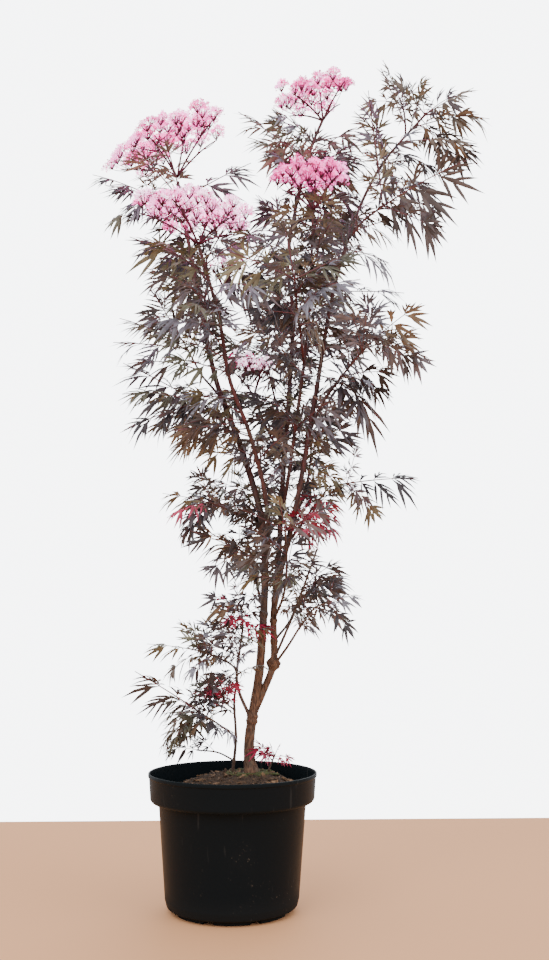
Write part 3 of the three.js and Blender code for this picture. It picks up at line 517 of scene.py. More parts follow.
def skinFaces(rings, sides):
    # Quads and triangles of rings of vertices that stand in order and end in two poles.
    grid = np.arange(rings * sides).reshape(rings, sides)
    after = np.roll(grid, -1, 1)
    quads = np.stack([grid[:-1], after[:-1], after[1:], grid[1:]], -1).reshape(-1, 4)
    low = np.stack([np.full(sides, grid.size), after[0], grid[0]], -1)
    high = np.stack([np.full(sides, grid.size + 1), grid[-1], after[-1]], -1)
    return quads, np.concatenate([low, high])


def halved(quads):
    return np.concatenate([quads[:, :3], quads[:, [0, 2, 3]]])


def copies(faces, count, size):
    # The faces of count copies of a form that has size vertices.
    return (faces + np.arange(count)[:, None, None] * size).reshape(-1, faces.shape[1])


def tubes(centres, radii, sides):
    # Round tubes along many paths at once: centre + radius * (across cos + behind sin), closed at both
    # ends by a pole. centres is tubes x rings x 3, radii tubes x rings.
    ahead = unit(np.gradient(centres, axis=1))
    guide = np.where(np.abs(ahead[..., 1:2]) > 0.95, [1.0, 0.0, 0.0], [0.0, 1.0, 0.0])
    across = unit(np.cross(guide, ahead))
    behind = np.cross(ahead, across)
    angle = anglesOf(sides)[:, None]
    ring = across[:, :, None] * np.cos(angle) + behind[:, :, None] * np.sin(angle)
    skin = centres[:, :, None] + ring * radii[..., None, None]
    count, rings = radii.shape
    verts = np.concatenate([skin.reshape(count, -1, 3), centres[:, [0, -1]]], 1)
    return verts, *(copies(faces, count, rings * sides + 2) for faces in skinFaces(rings, sides))


def setOn(surface, verts, tris, places, facing, sizes, spins, tones=0):
    # Places a small template on many spots: place + size * (x across + y behind + z facing).
    guide = np.where(np.abs(facing[:, :1]) > 0.9, [0.0, 1.0, 0.0], [1.0, 0.0, 0.0])
    across = unit(np.cross(guide, facing))
    behind = np.cross(facing, across)
    cos, sin = np.cos(spins)[:, None], np.sin(spins)[:, None]
    x, y = across * cos + behind * sin, behind * cos - across * sin
    spots = places[:, None] + sizes[:, None, None] * (
        x[:, None] * verts[:, :1] + y[:, None] * verts[:, 1:2] + facing[:, None] * verts[:, 2:])
    surface.add(spots, copies(tris, len(places), len(verts)), tones=tones)


class Shade:
    # Wraps one socket of a tree of nodes. Operators add Math nodes, make() adds any other node.
    def __init__(self, tree, socket=None):
        self.tree, self.socket = tree, socket

    def make(self, kind, settings=None, inputs=None, output=0):
        node = self.tree.nodes.new(kind)
        for key, value in (settings or {}).items():
            setattr(node, key, value)
        for key, value in (inputs or {}).items():
            if isinstance(value, Shade):
                self.tree.links.new(value.socket, node.inputs[key])
            else:
                node.inputs[key].default_value = value
        return Shade(self.tree, node.outputs[output])

    def work(self, operation, first, second, clamp=False):
        settings = {"operation": operation, "use_clamp": clamp}
        return self.make("ShaderNodeMath", settings, {0: first, 1: second})

    def __add__(self, other):
        return self.work("ADD", self, other)

    def __mul__(self, other):
        return self.work("MULTIPLY", self, other)

    def __rsub__(self, other):
        return self.work("SUBTRACT", other, self)

    def clamp(self):
        return self.work("ADD", self, 0.0, True)

    def height(self):
        return self.make("ShaderNodeSeparateXYZ", {}, {"Vector": self}, "Z")

    def stretched(self, upward, turn=(0, 0, 0)):
        return self.make("ShaderNodeMapping", {}, {"Vector": self, "Rotation": turn, "Scale": (1, 1, upward)})

    def noise(self, scale, detail, rough=0.55):
        return self.make("ShaderNodeTexNoise", {}, {"Vector": self, "Scale": scale, "Detail": detail,
                                                    "Roughness": rough})

    def band(self, low, high):
        return self.make("ShaderNodeMapRange", {"interpolation_type": "SMOOTHSTEP"},
                         {"Value": self, "From Min": low, "From Max": high})

    def blend(self, first, second):
        first, second = (value if isinstance(value, Shade) else rgba(value) for value in (first, second))
        return self.make("ShaderNodeMix", {"data_type": "RGBA"}, {0: self, 6: first, 7: second}, 2)

    def bump(self, strength, distance):
        return self.make("ShaderNodeBump", {}, {"Height": self, "Strength": strength, "Distance": distance})

    def end(self, inputs, kind="ShaderNodeBsdfPrincipled", output="ShaderNodeOutputMaterial"):
        shader = self.make(kind, {}, inputs)
        self.tree.links.new(shader.socket, self.tree.nodes.new(output).inputs["Surface"])


def rgba(tone):
    # A colour as seen on screen, 0 to 255, turned into the linear values that shaders take.
    return (*(((c / 255 + 0.055) / 1.055) ** 2.4 if c > 10 else c / 255 / 12.92 for c in tone), 1)


def finish(name, inputsAt):
    # A material whose inputs are made from the place on the piece.
    material = bpy.data.materials.new(name)
    material.use_nodes = True
    material.node_tree.nodes.clear()
    place = Shade(material.node_tree).make("ShaderNodeTexCoord", output=3)
    place.end(inputsAt(place))
    return material


def plainFinish(name, tone, roughness, gloss, cloud=0.16, glow=0.0):
    # One colour that a soft cloud makes a little lighter or darker, in patches of a few centimetres. A
    # glow stands for the light that passes through a petal.
    def inputsAt(place):
        patch = place.noise(30, 2)
        ends = ([min(c * part, 255) for c in tone] for part in (1 - cloud, 1 + cloud))
        base = patch.band(0.3, 0.7).blend(*ends)
        return {"Base Color": base, "Roughness": patch * 0.2 + (roughness - 0.1), "Specular IOR Level": gloss,
                "Emission Color": base, "Emission Strength": glow}
    return finish(name, inputsAt)


def grainyFinish(name, tones, first, second, relief, bump, roughness):
    # The first noise blends two tones and the second lays the third over them. Each noise is given by
    # its scale, detail and roughness, then by the band of it that shows, and raises the relief by a share.
    def inputsAt(place):
        (scaleA, detailA, roughA, *bandA), (scaleB, detailB, roughB, lowB, highB, shareB) = first, second
        one, two = place.noise(scaleA, detailA, roughA), place.noise(scaleB, detailB, roughB)
        base = (two.band(lowB, highB) * shareB).blend(one.band(*bandA).blend(*tones[:2]), tones[2])
        return {"Base Color": base, "Roughness": roughness,
                "Normal": (one * relief[0] + two * relief[1]).bump(*bump)}
    return finish(name, inputsAt)


def barkInputs(place):
    # Brown ridges over darker furrows, stretched up the stem, with grey patches of lichen.
    ridge = place.stretched(0.22).noise(420, 4)
    base = ridge.band(0.35, 0.68).blend((68, 44, 31), (124, 89, 66))
    base = (place.noise(60, 3).band(0.52, 0.72) * 0.5).blend(base, (104, 90, 74))
    height = ridge * 0.7 + place.noise(900, 2) * 0.3
    return {"Base Color": base, "Roughness": 0.82 - ridge * 0.1, "Normal": height.bump(0.7, 0.0012)}


def stemInputs(place):
    # Brown low down and wine-red above, darker and olive by turns, with pale raised pores.
    upright = place.stretched(0.3)
    streak = upright.noise(160, 3)
    pores = upright.noise(620, 1).band(0.66, 0.74)
    low = streak.band(0.3, 0.7).blend((56, 38, 31), (102, 76, 62))
    high = streak.band(0.3, 0.7).blend((46, 14, 16), (96, 34, 32))
    base = place.height().band(0.5, 0.8).blend(low, high)
    base = (place.noise(22, 2).band(0.52, 0.7) * 0.5).blend(base, (72, 56, 42))
    base = (pores * 0.6).blend(base, (120, 92, 76))
    height = pores * 0.5 + streak * 0.5
    return {"Base Color": base, "Roughness": streak * 0.15 + 0.5, "Normal": height.bump(0.4, 0.0005)}


def potInputs(place):
    # Satin black moulded plastic, dusty near the foot, with pale specks and scuffs and a fine grain.
    cloud = place.noise(14, 4)
    speck = place.noise(260, 2).band(0.66, 0.76)
    scuff = place.stretched(0.12, (0.3, 0.5, 0.2)).noise(90, 2).band(0.68, 0.76)
    dust = (place.height().band(0.05, 0.0) * 0.7 + cloud.band(0.5, 0.8) * 0.3).clamp()
    base = (dust * 0.22).blend((17, 24, 28), (54, 52, 50))
    base = (speck * cloud.band(0.5, 0.7) * 0.5).blend(base, (120, 110, 98))
    base = (scuff * 0.1).blend(base, (112, 110, 108))
    height = place.noise(1400, 2) + speck * 2
    return {"Base Color": base, "Roughness": dust * 0.35 + 0.38 + scuff * 0.15,
            "Normal": height.bump(0.12, 0.0004), "Specular IOR Level": 0.05}


print("materials made")


def limbTube(surface, name, sides, ringLength, relief, first=0.0, last=1.0, flare=0.0, burl=None):
    # A limb's skin: radius at each share, ribbed by slow sines that wander up the stem, swollen where
    # leaves stand, flared at a foot and knotted at a burl.
    limb = limbs[name]
    length, phase = limb["path"].length, 1.7 * limb["number"]
    rings = max(6, int((last - first) * length / ringLength))
    share = np.linspace(first, last, rings)[:, None]
    middle, ahead, across, behind = placesOn(limb, share[:, 0])
    angle, run = anglesOf(sides), share * length
    ribs = (np.sin(5 * angle + run / 23 + phase) * 0.5 + np.sin(9 * angle - run / 15 + phase) * 0.3
            + np.sin(3 * angle + run / 41) * 0.4 + np.sin(run / 4.3 + 7 * angle) * 0.22)
    skin = radiusAt(limb, share) * (1 + relief * ribs)
    for node in nodeShares(name):
        skin = skin * (1 + 0.28 * np.exp(-((share - node) * length / 3.5) ** 2))
    if flare:
        lobes = 1 + 0.22 * np.cos(3 * angle + 1) + 0.12 * np.sin(8 * angle)
        skin = skin + flare * np.exp(-run / 14) * lobes
    if burl:
        spot, size = burl
        bulge = np.exp(-((share - spot) * length / (0.6 * size)) ** 2)
        knobs = 0.7 + 0.3 * np.sin(4 * angle + 2) + 0.3 * np.sin(7 * angle + run / 3) * np.sin(run / 2.1)
        skin = skin + bulge * (0.55 * size) * knobs
    outward = across[:, None] * np.cos(angle)[:, None] + behind[:, None] * np.sin(angle)[:, None]
    verts = middle[:, None] + outward * skin[..., None]
    if first == 0 and not limb["isChild"]:
        verts[0, :, 2] = soilTop + clearance
    surface.add(np.concatenate([verts.reshape(-1, 3), middle[[0, -1]]]), *skinFaces(rings, sides))


def nodeShares(name):
    # Shares of a limb at which its leaves and side shoots stand.
    nodes = [child["start"][1] for child in limbs.values() if child["start"][0] == name]
    spots = limbs[name]["path"].at(np.linspace(0, 1, 400))
    for part in partsWith("pairs", [name]):
        nodes += [np.linalg.norm(spots - blade.root, axis=1).argmin() / 399 for blade in part["blades"]]
    return sorted(set(round(node, 3) for node in nodes))


def makeStems():
    bark, stems, trunkNodes = Surface(), Surface(), ["trunk", "second_stem"]
    limbTube(bark, "leader", 28, 2.2, 0.075, 0, 0.21, flare=5)
    limbTube(bark, "right", 24, 2.2, 0.07, 0, 0.22, burl=(0.082, 11))
    limbTube(stems, "leader", 16, 4, 0.045, 0.21, 0.99)
    limbTube(stems, "right", 16, 4, 0.045, 0.22, 1)
    for name in limbs:
        if name not in ("leader", "right"):
            limbTube(stems, name, 12, 4, 0.035)
    bark.build("barkOfTrunk", [finish("barkFinish", barkInputs)], "bark", trunkNodes)
    names = [part["name"] for limb in limbs.values() for part in limb["parts"]
             if "pairs" not in part and "head" not in part and part["name"] not in trunkNodes]
    stems.build("boughs", [finish("stemFinish", stemInputs)], "stem", names)


makeStems()
print("stems made")

# What a spray shows above and beneath, and its gloss. The pale grey tone is painted sheen: the sky's
# reflection on dark glossy leaves, laid into the colours above and beneath. Bronze and olive are partly
# the leaves' own tone and partly painted light shining through them.
leafTones = {
    "black": ((54, 47, 51), (72, 65, 65), 0.5), "aubergine": ((78, 68, 72), (98, 89, 88), 0.55),
    "slate": ((126, 123, 134), (118, 113, 122), 0.8), "bronze": ((104, 88, 76), (134, 118, 100), 0.45),
    "olive": ((100, 97, 81), (128, 123, 102), 0.45),
}
youngTones = {"crimson": ((166, 34, 66), (176, 56, 86), 0.3), "rose": ((190, 78, 104), (198, 104, 124), 0.3)}
tones = list(leafTones) + list(youngTones)
foliage = {
    "groups": {
        "leavesOfLeader": ["leader", "left", "leftUpper", "leftTip", "leftMiddle", "leftLower", "leftTuft"],
        "leavesOfFront": ["front", "frontHigh", "frontLow"],
        "leavesOfMiddle": ["middle", "inner"],
        "leavesOfRight": ["right", "topFan", "arch", "reach", "spur", "rightLow"],
        "leavesBehind": ["backHigh", "backRight", "backLeft", "backLow", "rightBack"],
        "leavesAtFoot": ["low", "lowLeft", "overRim"],
        "youngLeaves": ["redTuft", "sprout"],
    },
    "lowPair": (0.16, 62, 0.3), "smallLowPair": (0.22, 62, 0.34),  # share, angle, length as a share
    "axil": {"size": (0.35, 0.6), "least": 30, "droop": 0.12},
    "fill": {"size": (0.7, 1.2), "rise": (35, 80), "droop": (0, 0.4)},
    "bough": {"size": (44, 92), "rise": (35, 80), "droop": (0, 0.3)}, "boughSpacing": 8,
    "boughs": ["leader_bough", "right_bough", "middle_bough", "front_bough", "inner_bough", "low_stem",
               "left_stem"],
    "usualFill": 12,  # fillers for each pair of leaves
    "fillOf": {"arch": 0, "leftTip": 11, "reach": 14, "spur": 2, "low": 9, "lowLeft": 8, "overRim": 5,
               "rightLow": 2, "topFan": 2, "middle": 13, "inner": 12, "front": 17, "right": 2,
               "leftMiddle": 26, "leftUpper": 24, "leader": 14, "leftLower": 4, "leftTuft": 6, "backLow": 5},
    "young": {"size": (40, 70), "rise": (30, 80), "droop": (0, 0.4)},
    # From, to and how many young leaves.
    "youngShoots": {"spur": (0.12, 0.5, 16), "left": (0.6, 1, 9), "redTuft": (0.2, 1, 9),
                    "sprout": (0.3, 1, 4)},
    "openSpots": [((31, 60, 930), 38), ((-12, 84, 1122), 28), ((132, -44, 648), 46)],  # middle and radius
    "lowestYoung": 231, "unrest": 0.35, "spill": 4, "stemGap": 0.8, "stalkRadius": (1.5, 0.75),
    "stalkTone": (112, 72, 76), "leafRoughness": 0.42, "youngRoughness": 0.5, "seed": 7,
}
# Single leaves that catch the eye: the share of the limb where each stands, its tip, droop, twist in
# degrees and tone, and its shape where that is the hanging one.
placedLeaves = {
    "leader": [(0.955, (-186, -60, 1290), 0.1, 10, "bronze"), (0.975, (-126, -64, 1304), 0.1, -20, "olive"),
               (0.958, (-214, 20, 1196), 0.25, 30, "slate"), (0.94, (-240, 0, 1236), 0.2, 25, "black")],
    "front": [(0.865, (79, -130, 985), 0.5, 10, "slate", hangingShape)],
    "middle": [(0.9, (-4, 20, 1392), 0.12, 15, "bronze"), (0.88, (14, -10, 1326), 0.3, 20, "olive"),
               (0.93, (52, 110, 1420), 0.12, -20, "bronze"),
               (0.9, (70, -50, 1300), 0.3, -15, "bronze", hangingShape)],
    "right": [(0.834, (351, -86, 1210), 0.2, 12, "slate"), (0.65, (296, -70, 1022), 0.06, 15, "slate"),
              (0.52, (250, -60, 800), 0.42, 8, "aubergine", hangingShape),
              (0.995, (446, 30, 1450), 0.12, -10, "bronze"), (0.955, (352, 30, 1468), 0.05, 20, "bronze"),
              (0.965, (452, 10, 1387), 0.14, 15, "bronze"), (0.93, (446, 0, 1322), 0.2, -15, "bronze"),
              (0.91, (208, -10, 1382), 0.1, 10, "bronze"), (0.88, (246, -30, 1376), 0.05, -15, "olive"),
              (0.8, (176, -70, 1206), 0.2, 10, "slate")],
    "topFan": [(0.3, (262, 10, 1478), 0.06, 10, "bronze"), (0.15, (304, 30, 1480), 0.02, -20, "bronze")],
    "leftUpper": [(0.9, (-206, -30, 986), 0.25, 15, "olive"), (0.6, (-190, -40, 900), 0.3, -10, "slate")],
    "leftMiddle": [(0.9, (-200, -30, 850), 0.3, 15, "olive")],
    "leftLower": [(0.98, (-118, -20, 638), 0.3, 10, "rose")],
    "spur": [(0.12, (106, -60, 656), 0.2, 10, "crimson"), (0.2, (138, -50, 612), 0.3, 10, "rose"),
             (0.3, (148, -44, 654), 0.2, -15, "rose"), (0.45, (180, -36, 668), 0.2, 20, "crimson")],
}
# Leaflets up to a length in millimetres: the longer, the slimmer and the more cut. Each outline is its
# pairs of side lances (share, angle, length), its breadth and a seed.
leafletKinds = [
    (34, [([(0.06, 30, 0.78)], 0.08, 7), ([(0.16, 26, 0.7)], 0.086, 8), ([(0.06, 40, 0.66)], 0.08, 9),
          ([], 0.11, 10)]),
    (56, [([(0.1, 27, 0.7), (0.36, 23, 0.52)], 0.062, 1), ([(0.14, 24, 0.72)], 0.074, 2),
          ([(0.24, 22, 0.62)], 0.08, 3), ([(0.06, 32, 0.6), (0.3, 23, 0.54)], 0.064, 4),
          ([(0.32, 20, 0.56)], 0.086, 5), ([(0.08, 28, 0.76)], 0.07, 6)]),
    (999, [([(0.1, 31, 0.6), (0.26, 26, 0.58), (0.46, 20, 0.44)], 0.048, 11),
           ([(0.14, 27, 0.64), (0.4, 22, 0.48)], 0.055, 12), ([(0.2, 25, 0.64)], 0.062, 13),
           ([(0.08, 35, 0.54), (0.28, 26, 0.58)], 0.052, 14)]),
]
# Corners of a lance: 0 root, 1 tip, then right, top, left and bottom of its two sections. The upper
# eight faces come first.
lanceFaces = np.array([
    (0, 2, 3), (0, 3, 4), (2, 6, 7), (2, 7, 3), (3, 7, 8), (3, 8, 4), (6, 1, 7), (7, 1, 8),
    (0, 5, 2), (0, 4, 5), (2, 5, 9), (2, 9, 6), (4, 8, 9), (4, 9, 5), (6, 9, 1), (9, 8, 1)])


def cutLeaflet(pairs, broad, seed):
    # A cut leaflet one unit long, as slender closed lances that part from its midrib: one down the
    # middle and pairs to both sides, each a little uneven. A lance runs
    # root + length * (s along + bend s^2 right - sag s^2 up), broad at 0.3 and 0.66 of its length.
    throw = np.random.default_rng(seed)
    lances, rows = [(0.0, 0.0, 1.0)], []
    for share, angle, length in pairs:
        lances += [(share, angle, length), (share, -angle, length)]
    for share, angle, length in lances:
        if angle:
            share += throw.uniform(-0.04, 0.05)
            angle *= throw.uniform(0.85, 1.2)
            length *= throw.uniform(0.85, 1.15)
        along = np.array([math.cos(angle * degree), math.sin(angle * degree), 0])
        right = np.array([along[1], -along[0], 0])
        half = broad * length ** 0.6
        bend, sag = throw.uniform(-0.09, 0.09), throw.uniform(0.02, 0.16)
        root, tip, low, high = (along * length * s + right * length * bend * s * s - up * length * sag * s * s
                                for s in (0, 1, 0.3, 0.66))
        spots = [root, tip]
        for middle, part in ((low, 0.94), (high, 0.74)):
            wing, ridge = right * half * part, up * half * part * 0.24
            spots += [middle + wing, middle + ridge, middle - wing, middle - ridge]
        rows += [spot + (share, 0, 0) for spot in spots]
    sides = np.tile(np.repeat([0, 1], 8), len(lances))
    return np.array(rows), copies(lanceFaces, len(lances), 10), sides


templates = [(longest, [cutLeaflet(*kind) for kind in kinds]) for longest, kinds in leafletKinds]


def setLeaflets(surface, template, found, throw):
    # Places a template on many leaflets at once: root + length * (u ahead + v left + w above - hang u^2 up),
    # where w gains hump * sin(pi u) and loses 0.5 |v|^1.5.
    rows, tris, sides = template
    roots, tips, faces = (np.array([row[i] for row in found]) for i in range(3))
    hump, hang = throw.uniform(0.02, 0.1, len(found)), throw.uniform(0.02, 0.24, len(found))
    along = tips - roots
    length = np.linalg.norm(along, axis=1)[:, None, None]
    ahead = unit(along)
    above = unit(faces - ahead * (faces * ahead).sum(1)[:, None])
    left = np.cross(above, ahead)
    u, v, w = rows.T
    lift = w + hump[:, None] * np.sin(math.pi * np.clip(u, 0, 1)) - 0.5 * np.abs(v) ** 1.5
    fall = hang[:, None] * np.clip(u, 0, 2) ** 2
    verts = roots[:, None] + length * (ahead[:, None] * u[:, None] + left[:, None] * v[:, None]
                                       + above[:, None] * lift[..., None] - up * fall[..., None])
    tones = np.array([row[3] for row in found])[:, None] * 2 + sides
    surface.add(verts, copies(tris, len(found), len(rows)), tones=tones.ravel())


def toneOf(blade, throw):
    # High sprays show more bronze, most of all to the right, and more olive to the left: their own tone with
    # painted light shining through. A band below them takes the pale grey of painted sheen, the inner ones are
    # near black, and the low ones olive again.
    x, y, z = blade.stalk(1.0)
    high, low = np.clip((z - 850) / 400, 0, 1), np.clip((480 - z) / 200, 0, 1)
    right, left = np.clip((x - 120) / 160, 0, 1), np.clip((-40 - x) / 90, 0, 1)
    band = np.exp(-((z - 1010) / 75) ** 2)
    weights = np.array([0.24 - 0.12 * high, 0.26 - 0.08 * right, 0.2 + 0.12 * right - 0.1 * low + 0.5 * band,
                        0.1 + (0.12 + 0.34 * right) * high, 0.1 + 0.1 * high + 0.2 * left + 0.1 * low])
    return throw.choice(len(leafTones), p=weights / weights.sum())


class Sprays:
    # Gathers leaflets as (root, tip, face, tone), by length, and the stalks that bear them.
    def __init__(self):
        self.leaflets, self.stalks = [[] for row in templates], []

    def collect(self, blade, tone, throw):
        for lobe in blade.lobes:
            self.leaflet(blade, lobe, tone, throw)
        share, angle, part = foliage["lowPair" if blade.size > growth["smallLeaf"] else "smallLowPair"]
        for hand in (1, -1):
            size = part * blade.size * throw.uniform(0.8, 1.15)
            lobe = blade.lobe(share + throw.uniform(-0.03, 0.03), angle, size, hand)
            self.leaflet(blade, lobe, tone, throw)
        self.stalks.append((blade.stalk(np.linspace(0, 0.94, 8)), blade.size))

    def leaflet(self, blade, lobe, tone, throw):
        root, tip, length = lobe
        face = unit(blade.above + foliage["unrest"] * throw.normal(size=3))
        kind = next(i for i, (longest, outlines) in enumerate(templates) if length <= longest)
        self.leaflets[kind].append((root, tip, face, tone))


def boxesOf(parts):
    return np.array([[list(corner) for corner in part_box(part["name"])] for part in parts]) / metres


def fits(blade, boxes, owner):
    # True where every tip lies in one of the boxes, the blade leaves the two small heads and the red
    # leaves of the spur open towards the front, a little downward, and it touches no stem.
    tips = np.array([tip for root, tip, length in blade.lobes])
    low, high = boxes[:, 0] - foliage["spill"], boxes[:, 1] + foliage["spill"]
    inside = (tips[:, None] > low) & (tips[:, None] < high)
    if not inside.all(-1).any(1).all():
        return False
    front = unit(np.array([0, -1, -0.24]))
    spots = np.concatenate([blade.stalk([0.5, 1.0]), tips])
    for middle, radius in foliage["openSpots"]:
        gap = spots - np.array(middle)
        ahead = gap @ front
        aside = np.linalg.norm(gap - ahead[:, None] * front, axis=1)
        if ((ahead > 0) & (aside < radius)).any():
            return False
    return blade.isClear(limbRows, owner, foliage["stemGap"], 0)


def sideLeaf(limb, share, leaf, kind, throw):
    size = leaf * throw.uniform(*kind["size"])
    rise, droop = throw.uniform(*kind["rise"]), throw.uniform(*kind["droop"])
    return sideBlade(limb, share, throw.uniform(0, circle), rise, size, droop, throw.uniform(-1, 1))


def placedLeaf(limb, share, tip, droop, twist, shape=leafShape):
    middle = limb["path"].at(share)[0]
    size = np.linalg.norm(tip - middle)
    return Blade(middle, (tip - middle) / size + up * droop, size, droop, twist * degree, shape)


def axilLeaf(blade, throw):
    axil = foliage["axil"]
    way = unit(blade.ahead + 0.5 * up + 0.6 * throw.normal(size=3))
    size = max(axil["least"], blade.size * throw.uniform(*axil["size"]))
    return Blade(blade.root, way, size, axil["droop"], throw.uniform(-1, 1), shapeFor(size))


def leavesOf(name, throw):
    # The solid part's leaves, small ones in their axils, and fillers within the same space.
    limb, kept = limbs[name], []
    first = limb["collar"]
    for part in limb["parts"]:
        last = part["to"]
        fillers, boxes = [], leafyBoxes
        if "pairs" in part:
            boxes = boxesOf([part])
            kept += part["blades"]
            fillers += [axilLeaf(blade, throw) for blade in part["blades"]]
            low = first + (last - first) * part["bare"]
            fillers += [sideLeaf(limb, throw.uniform(low, last), part["leaf"], foliage["fill"], throw)
                        for i in range(part["pairs"] * foliage["fillOf"].get(name, foliage["usualFill"]))]
        elif part["name"] in foliage["boughs"]:
            count = int((last - first) * limb["path"].length / foliage["boughSpacing"])
            fillers += [sideLeaf(limb, share, 1, foliage["bough"], throw)
                        for share in np.linspace(first + 0.25 * (last - first), last, count)]
        kept += [blade for blade in fillers if fits(blade, boxes, limb["number"])]
        first = last
    return kept


def makeLeaves():
    throw = np.random.default_rng(foliage["seed"])
    finishes = []
    for toneSet, roughness in ((leafTones, foliage["leafRoughness"]), (youngTones, foliage["youngRoughness"])):
        for name, (above, beneath, gloss) in toneSet.items():
            finishes += [plainFinish(name + "Above", above, roughness, gloss),
                         plainFinish(name + "Beneath", beneath, roughness + 0.15, 0.5 * gloss)]
    young, stalks = Sprays(), []
    for name, (low, high, count) in foliage["youngShoots"].items():
        for share in throw.uniform(low, high, count):
            blade = sideLeaf(limbs[name], share, 1, foliage["young"], throw)
            if blade.stalk(1.0)[2] > foliage["lowestYoung"]:
                young.collect(blade, len(leafTones) + throw.integers(2), throw)
    for piece, names in foliage["groups"].items():
        isYoung = piece == "youngLeaves"
        sprays = young if isYoung else Sprays()
        for name in names:
            for blade in leavesOf(name, throw):
                tone = len(leafTones) + throw.integers(2) if isYoung else toneOf(blade, throw)
                sprays.collect(blade, tone, throw)
            for share, tip, droop, twist, tone, *shape in placedLeaves.get(name, []):
                blade = placedLeaf(limbs[name], share, tip, droop, twist, *shape)
                sprays.collect(blade, tones.index(tone), throw)
        surface = Surface()
        for found, (longest, outlines) in zip(sprays.leaflets, templates):
            for number, outline in enumerate(outlines):
                if len(found) > number:
                    setLeaflets(surface, outline, found[number::len(outlines)], throw)
        nodes = [part["name"] for part in partsWith("pairs", names)]
        surface.build(piece, finishes, "red_leaf" if isYoung else "leaf", nodes, smooth=False)
        stalks += sprays.stalks
    twigs = Surface()
    centres = np.array([stalk for stalk, size in stalks])
    sizes = np.clip(np.array([size for stalk, size in stalks]) / 150, 0.45, 1)
    twigs.add(*tubes(centres, sizes[:, None] * np.linspace(*foliage["stalkRadius"], centres.shape[1]), 5))
    twigs.build("leafStalks", [plainFinish("stalkFinish", foliage["stalkTone"], 0.5, 0.3)], "stem")
    print(len(stalks), "leaves")


leafyBoxes = boxesOf(partsWith("pairs", limbs))
makeLeaves()
print("leaves made")

blossom = {
    "groups": {"blossomHigh": ("leader", "middle"), "blossomFront": ("front", "inner"),
               "blossomInside": ("paleHead", "budHead")},
    "rayRadius": (2.0, 1.1), "branchRadius": (0.95, 0.5), "forkRadius": (0.75, 0.5),
    "pedicelRadius": (0.3, 0.24), "sectors": 9, "floretRadius": (3.5, 5.0), "budSize": 0.55, "sink": 15,
    "lift": 5, "flatness": 0.3, "reach": (0.86, 0.1), "edge": 1.06, "unevenness": 0.018, "unrest": 0.6,
    "clusterShare": 0.6, "forkReach": (0.5, 0.72), "seed": 5,
    "usualBuds": 0.22, "budsOf": {"bud_head": 0.85, "pale_flower_head": 0.4},
    "tones": {"blush": (255, 168, 224), "pink": (246, 120, 196), "rose": (212, 74, 150),
              "white": (255, 222, 244), "bud": (140, 32, 80), "heart": (210, 116, 150)},
    "glow": 2.1, "rayTone": (84, 28, 40), "pedicelTone": (196, 92, 140),
    # Shares of blush, pink, rose and white florets.
    "shares": {"leader_flower_head": (0.34, 0.36, 0.18, 0.12), "front_flower_head": (0.42, 0.16, 0.06, 0.36),
               "middle_flower_head": (0.2, 0.4, 0.32, 0.08), "inner_flower_head": (0.18, 0.38, 0.38, 0.06),
               "pale_flower_head": (0.12, 0.0, 0.0, 0.88), "bud_head": (0.2, 0.3, 0.3, 0.2)},
}
golden = math.pi * (3 - 5 ** 0.5)


def floretTemplate():
    # Five cupped kite-shaped petals round a small heart. Each is a thin form of four corners, an upper
    # and a lower point. Sides: 0 petal, 1 heart.
    kite = np.array([(0.1, 0, 0), (0.62, -0.31, 0.16), (1, 0, 0.3), (0.62, 0.31, 0.16), (0.58, 0, 0.2),
                     (0.58, 0, 0.1)])
    heart = [(0.2, 0, 0.1), (0, 0.2, 0.1), (-0.2, 0, 0.1), (0, -0.2, 0.1), (0, 0, 0.34), (0, 0, -0.1)]
    petals = [kite @ np.array([[math.cos(a), math.sin(a), 0], [-math.sin(a), math.cos(a), 0], [0, 0, 1]])
              for a in anglesOf(5)]
    faces = np.array([[(i, (i + 1) % 4, 4), ((i + 1) % 4, i, 5)] for i in range(4)]).reshape(-1, 3)
    return np.concatenate([*petals, heart]), copies(faces, 6, 6), np.repeat([0, 1], [40, 8])


def budTemplate():
    # A small egg of two six-sided rings and two poles.
    rings = [ringAt(0.5, anglesOf(6), height) for height in (-0.2, 0.35)]
    quads, tris = skinFaces(2, 6)
    return np.concatenate([*rings, [(0, 0, -0.6)], [(0, 0, 0.75)]]), np.concatenate([halved(quads), tris])


def arcs(starts, ends, rise, rings):
    # Curves from start to end that bow upward by rise of their length: a straight line plus
    # rise * length * 4 s (1 - s) * up.
    s = np.linspace(0, 1, rings)[:, None]
    length = np.linalg.norm(ends - starts, axis=1)[:, None, None]
    return starts[:, None] * (1 - s) + ends[:, None] * s + up * (rise * length * 4 * s * (1 - s))


def addStalks(surface, paths, radii, sides, tone=0):
    radii = np.tile(np.linspace(*radii, paths.shape[1]), (len(paths), 1))
    surface.add(*tubes(paths, radii, sides), tones=tone)


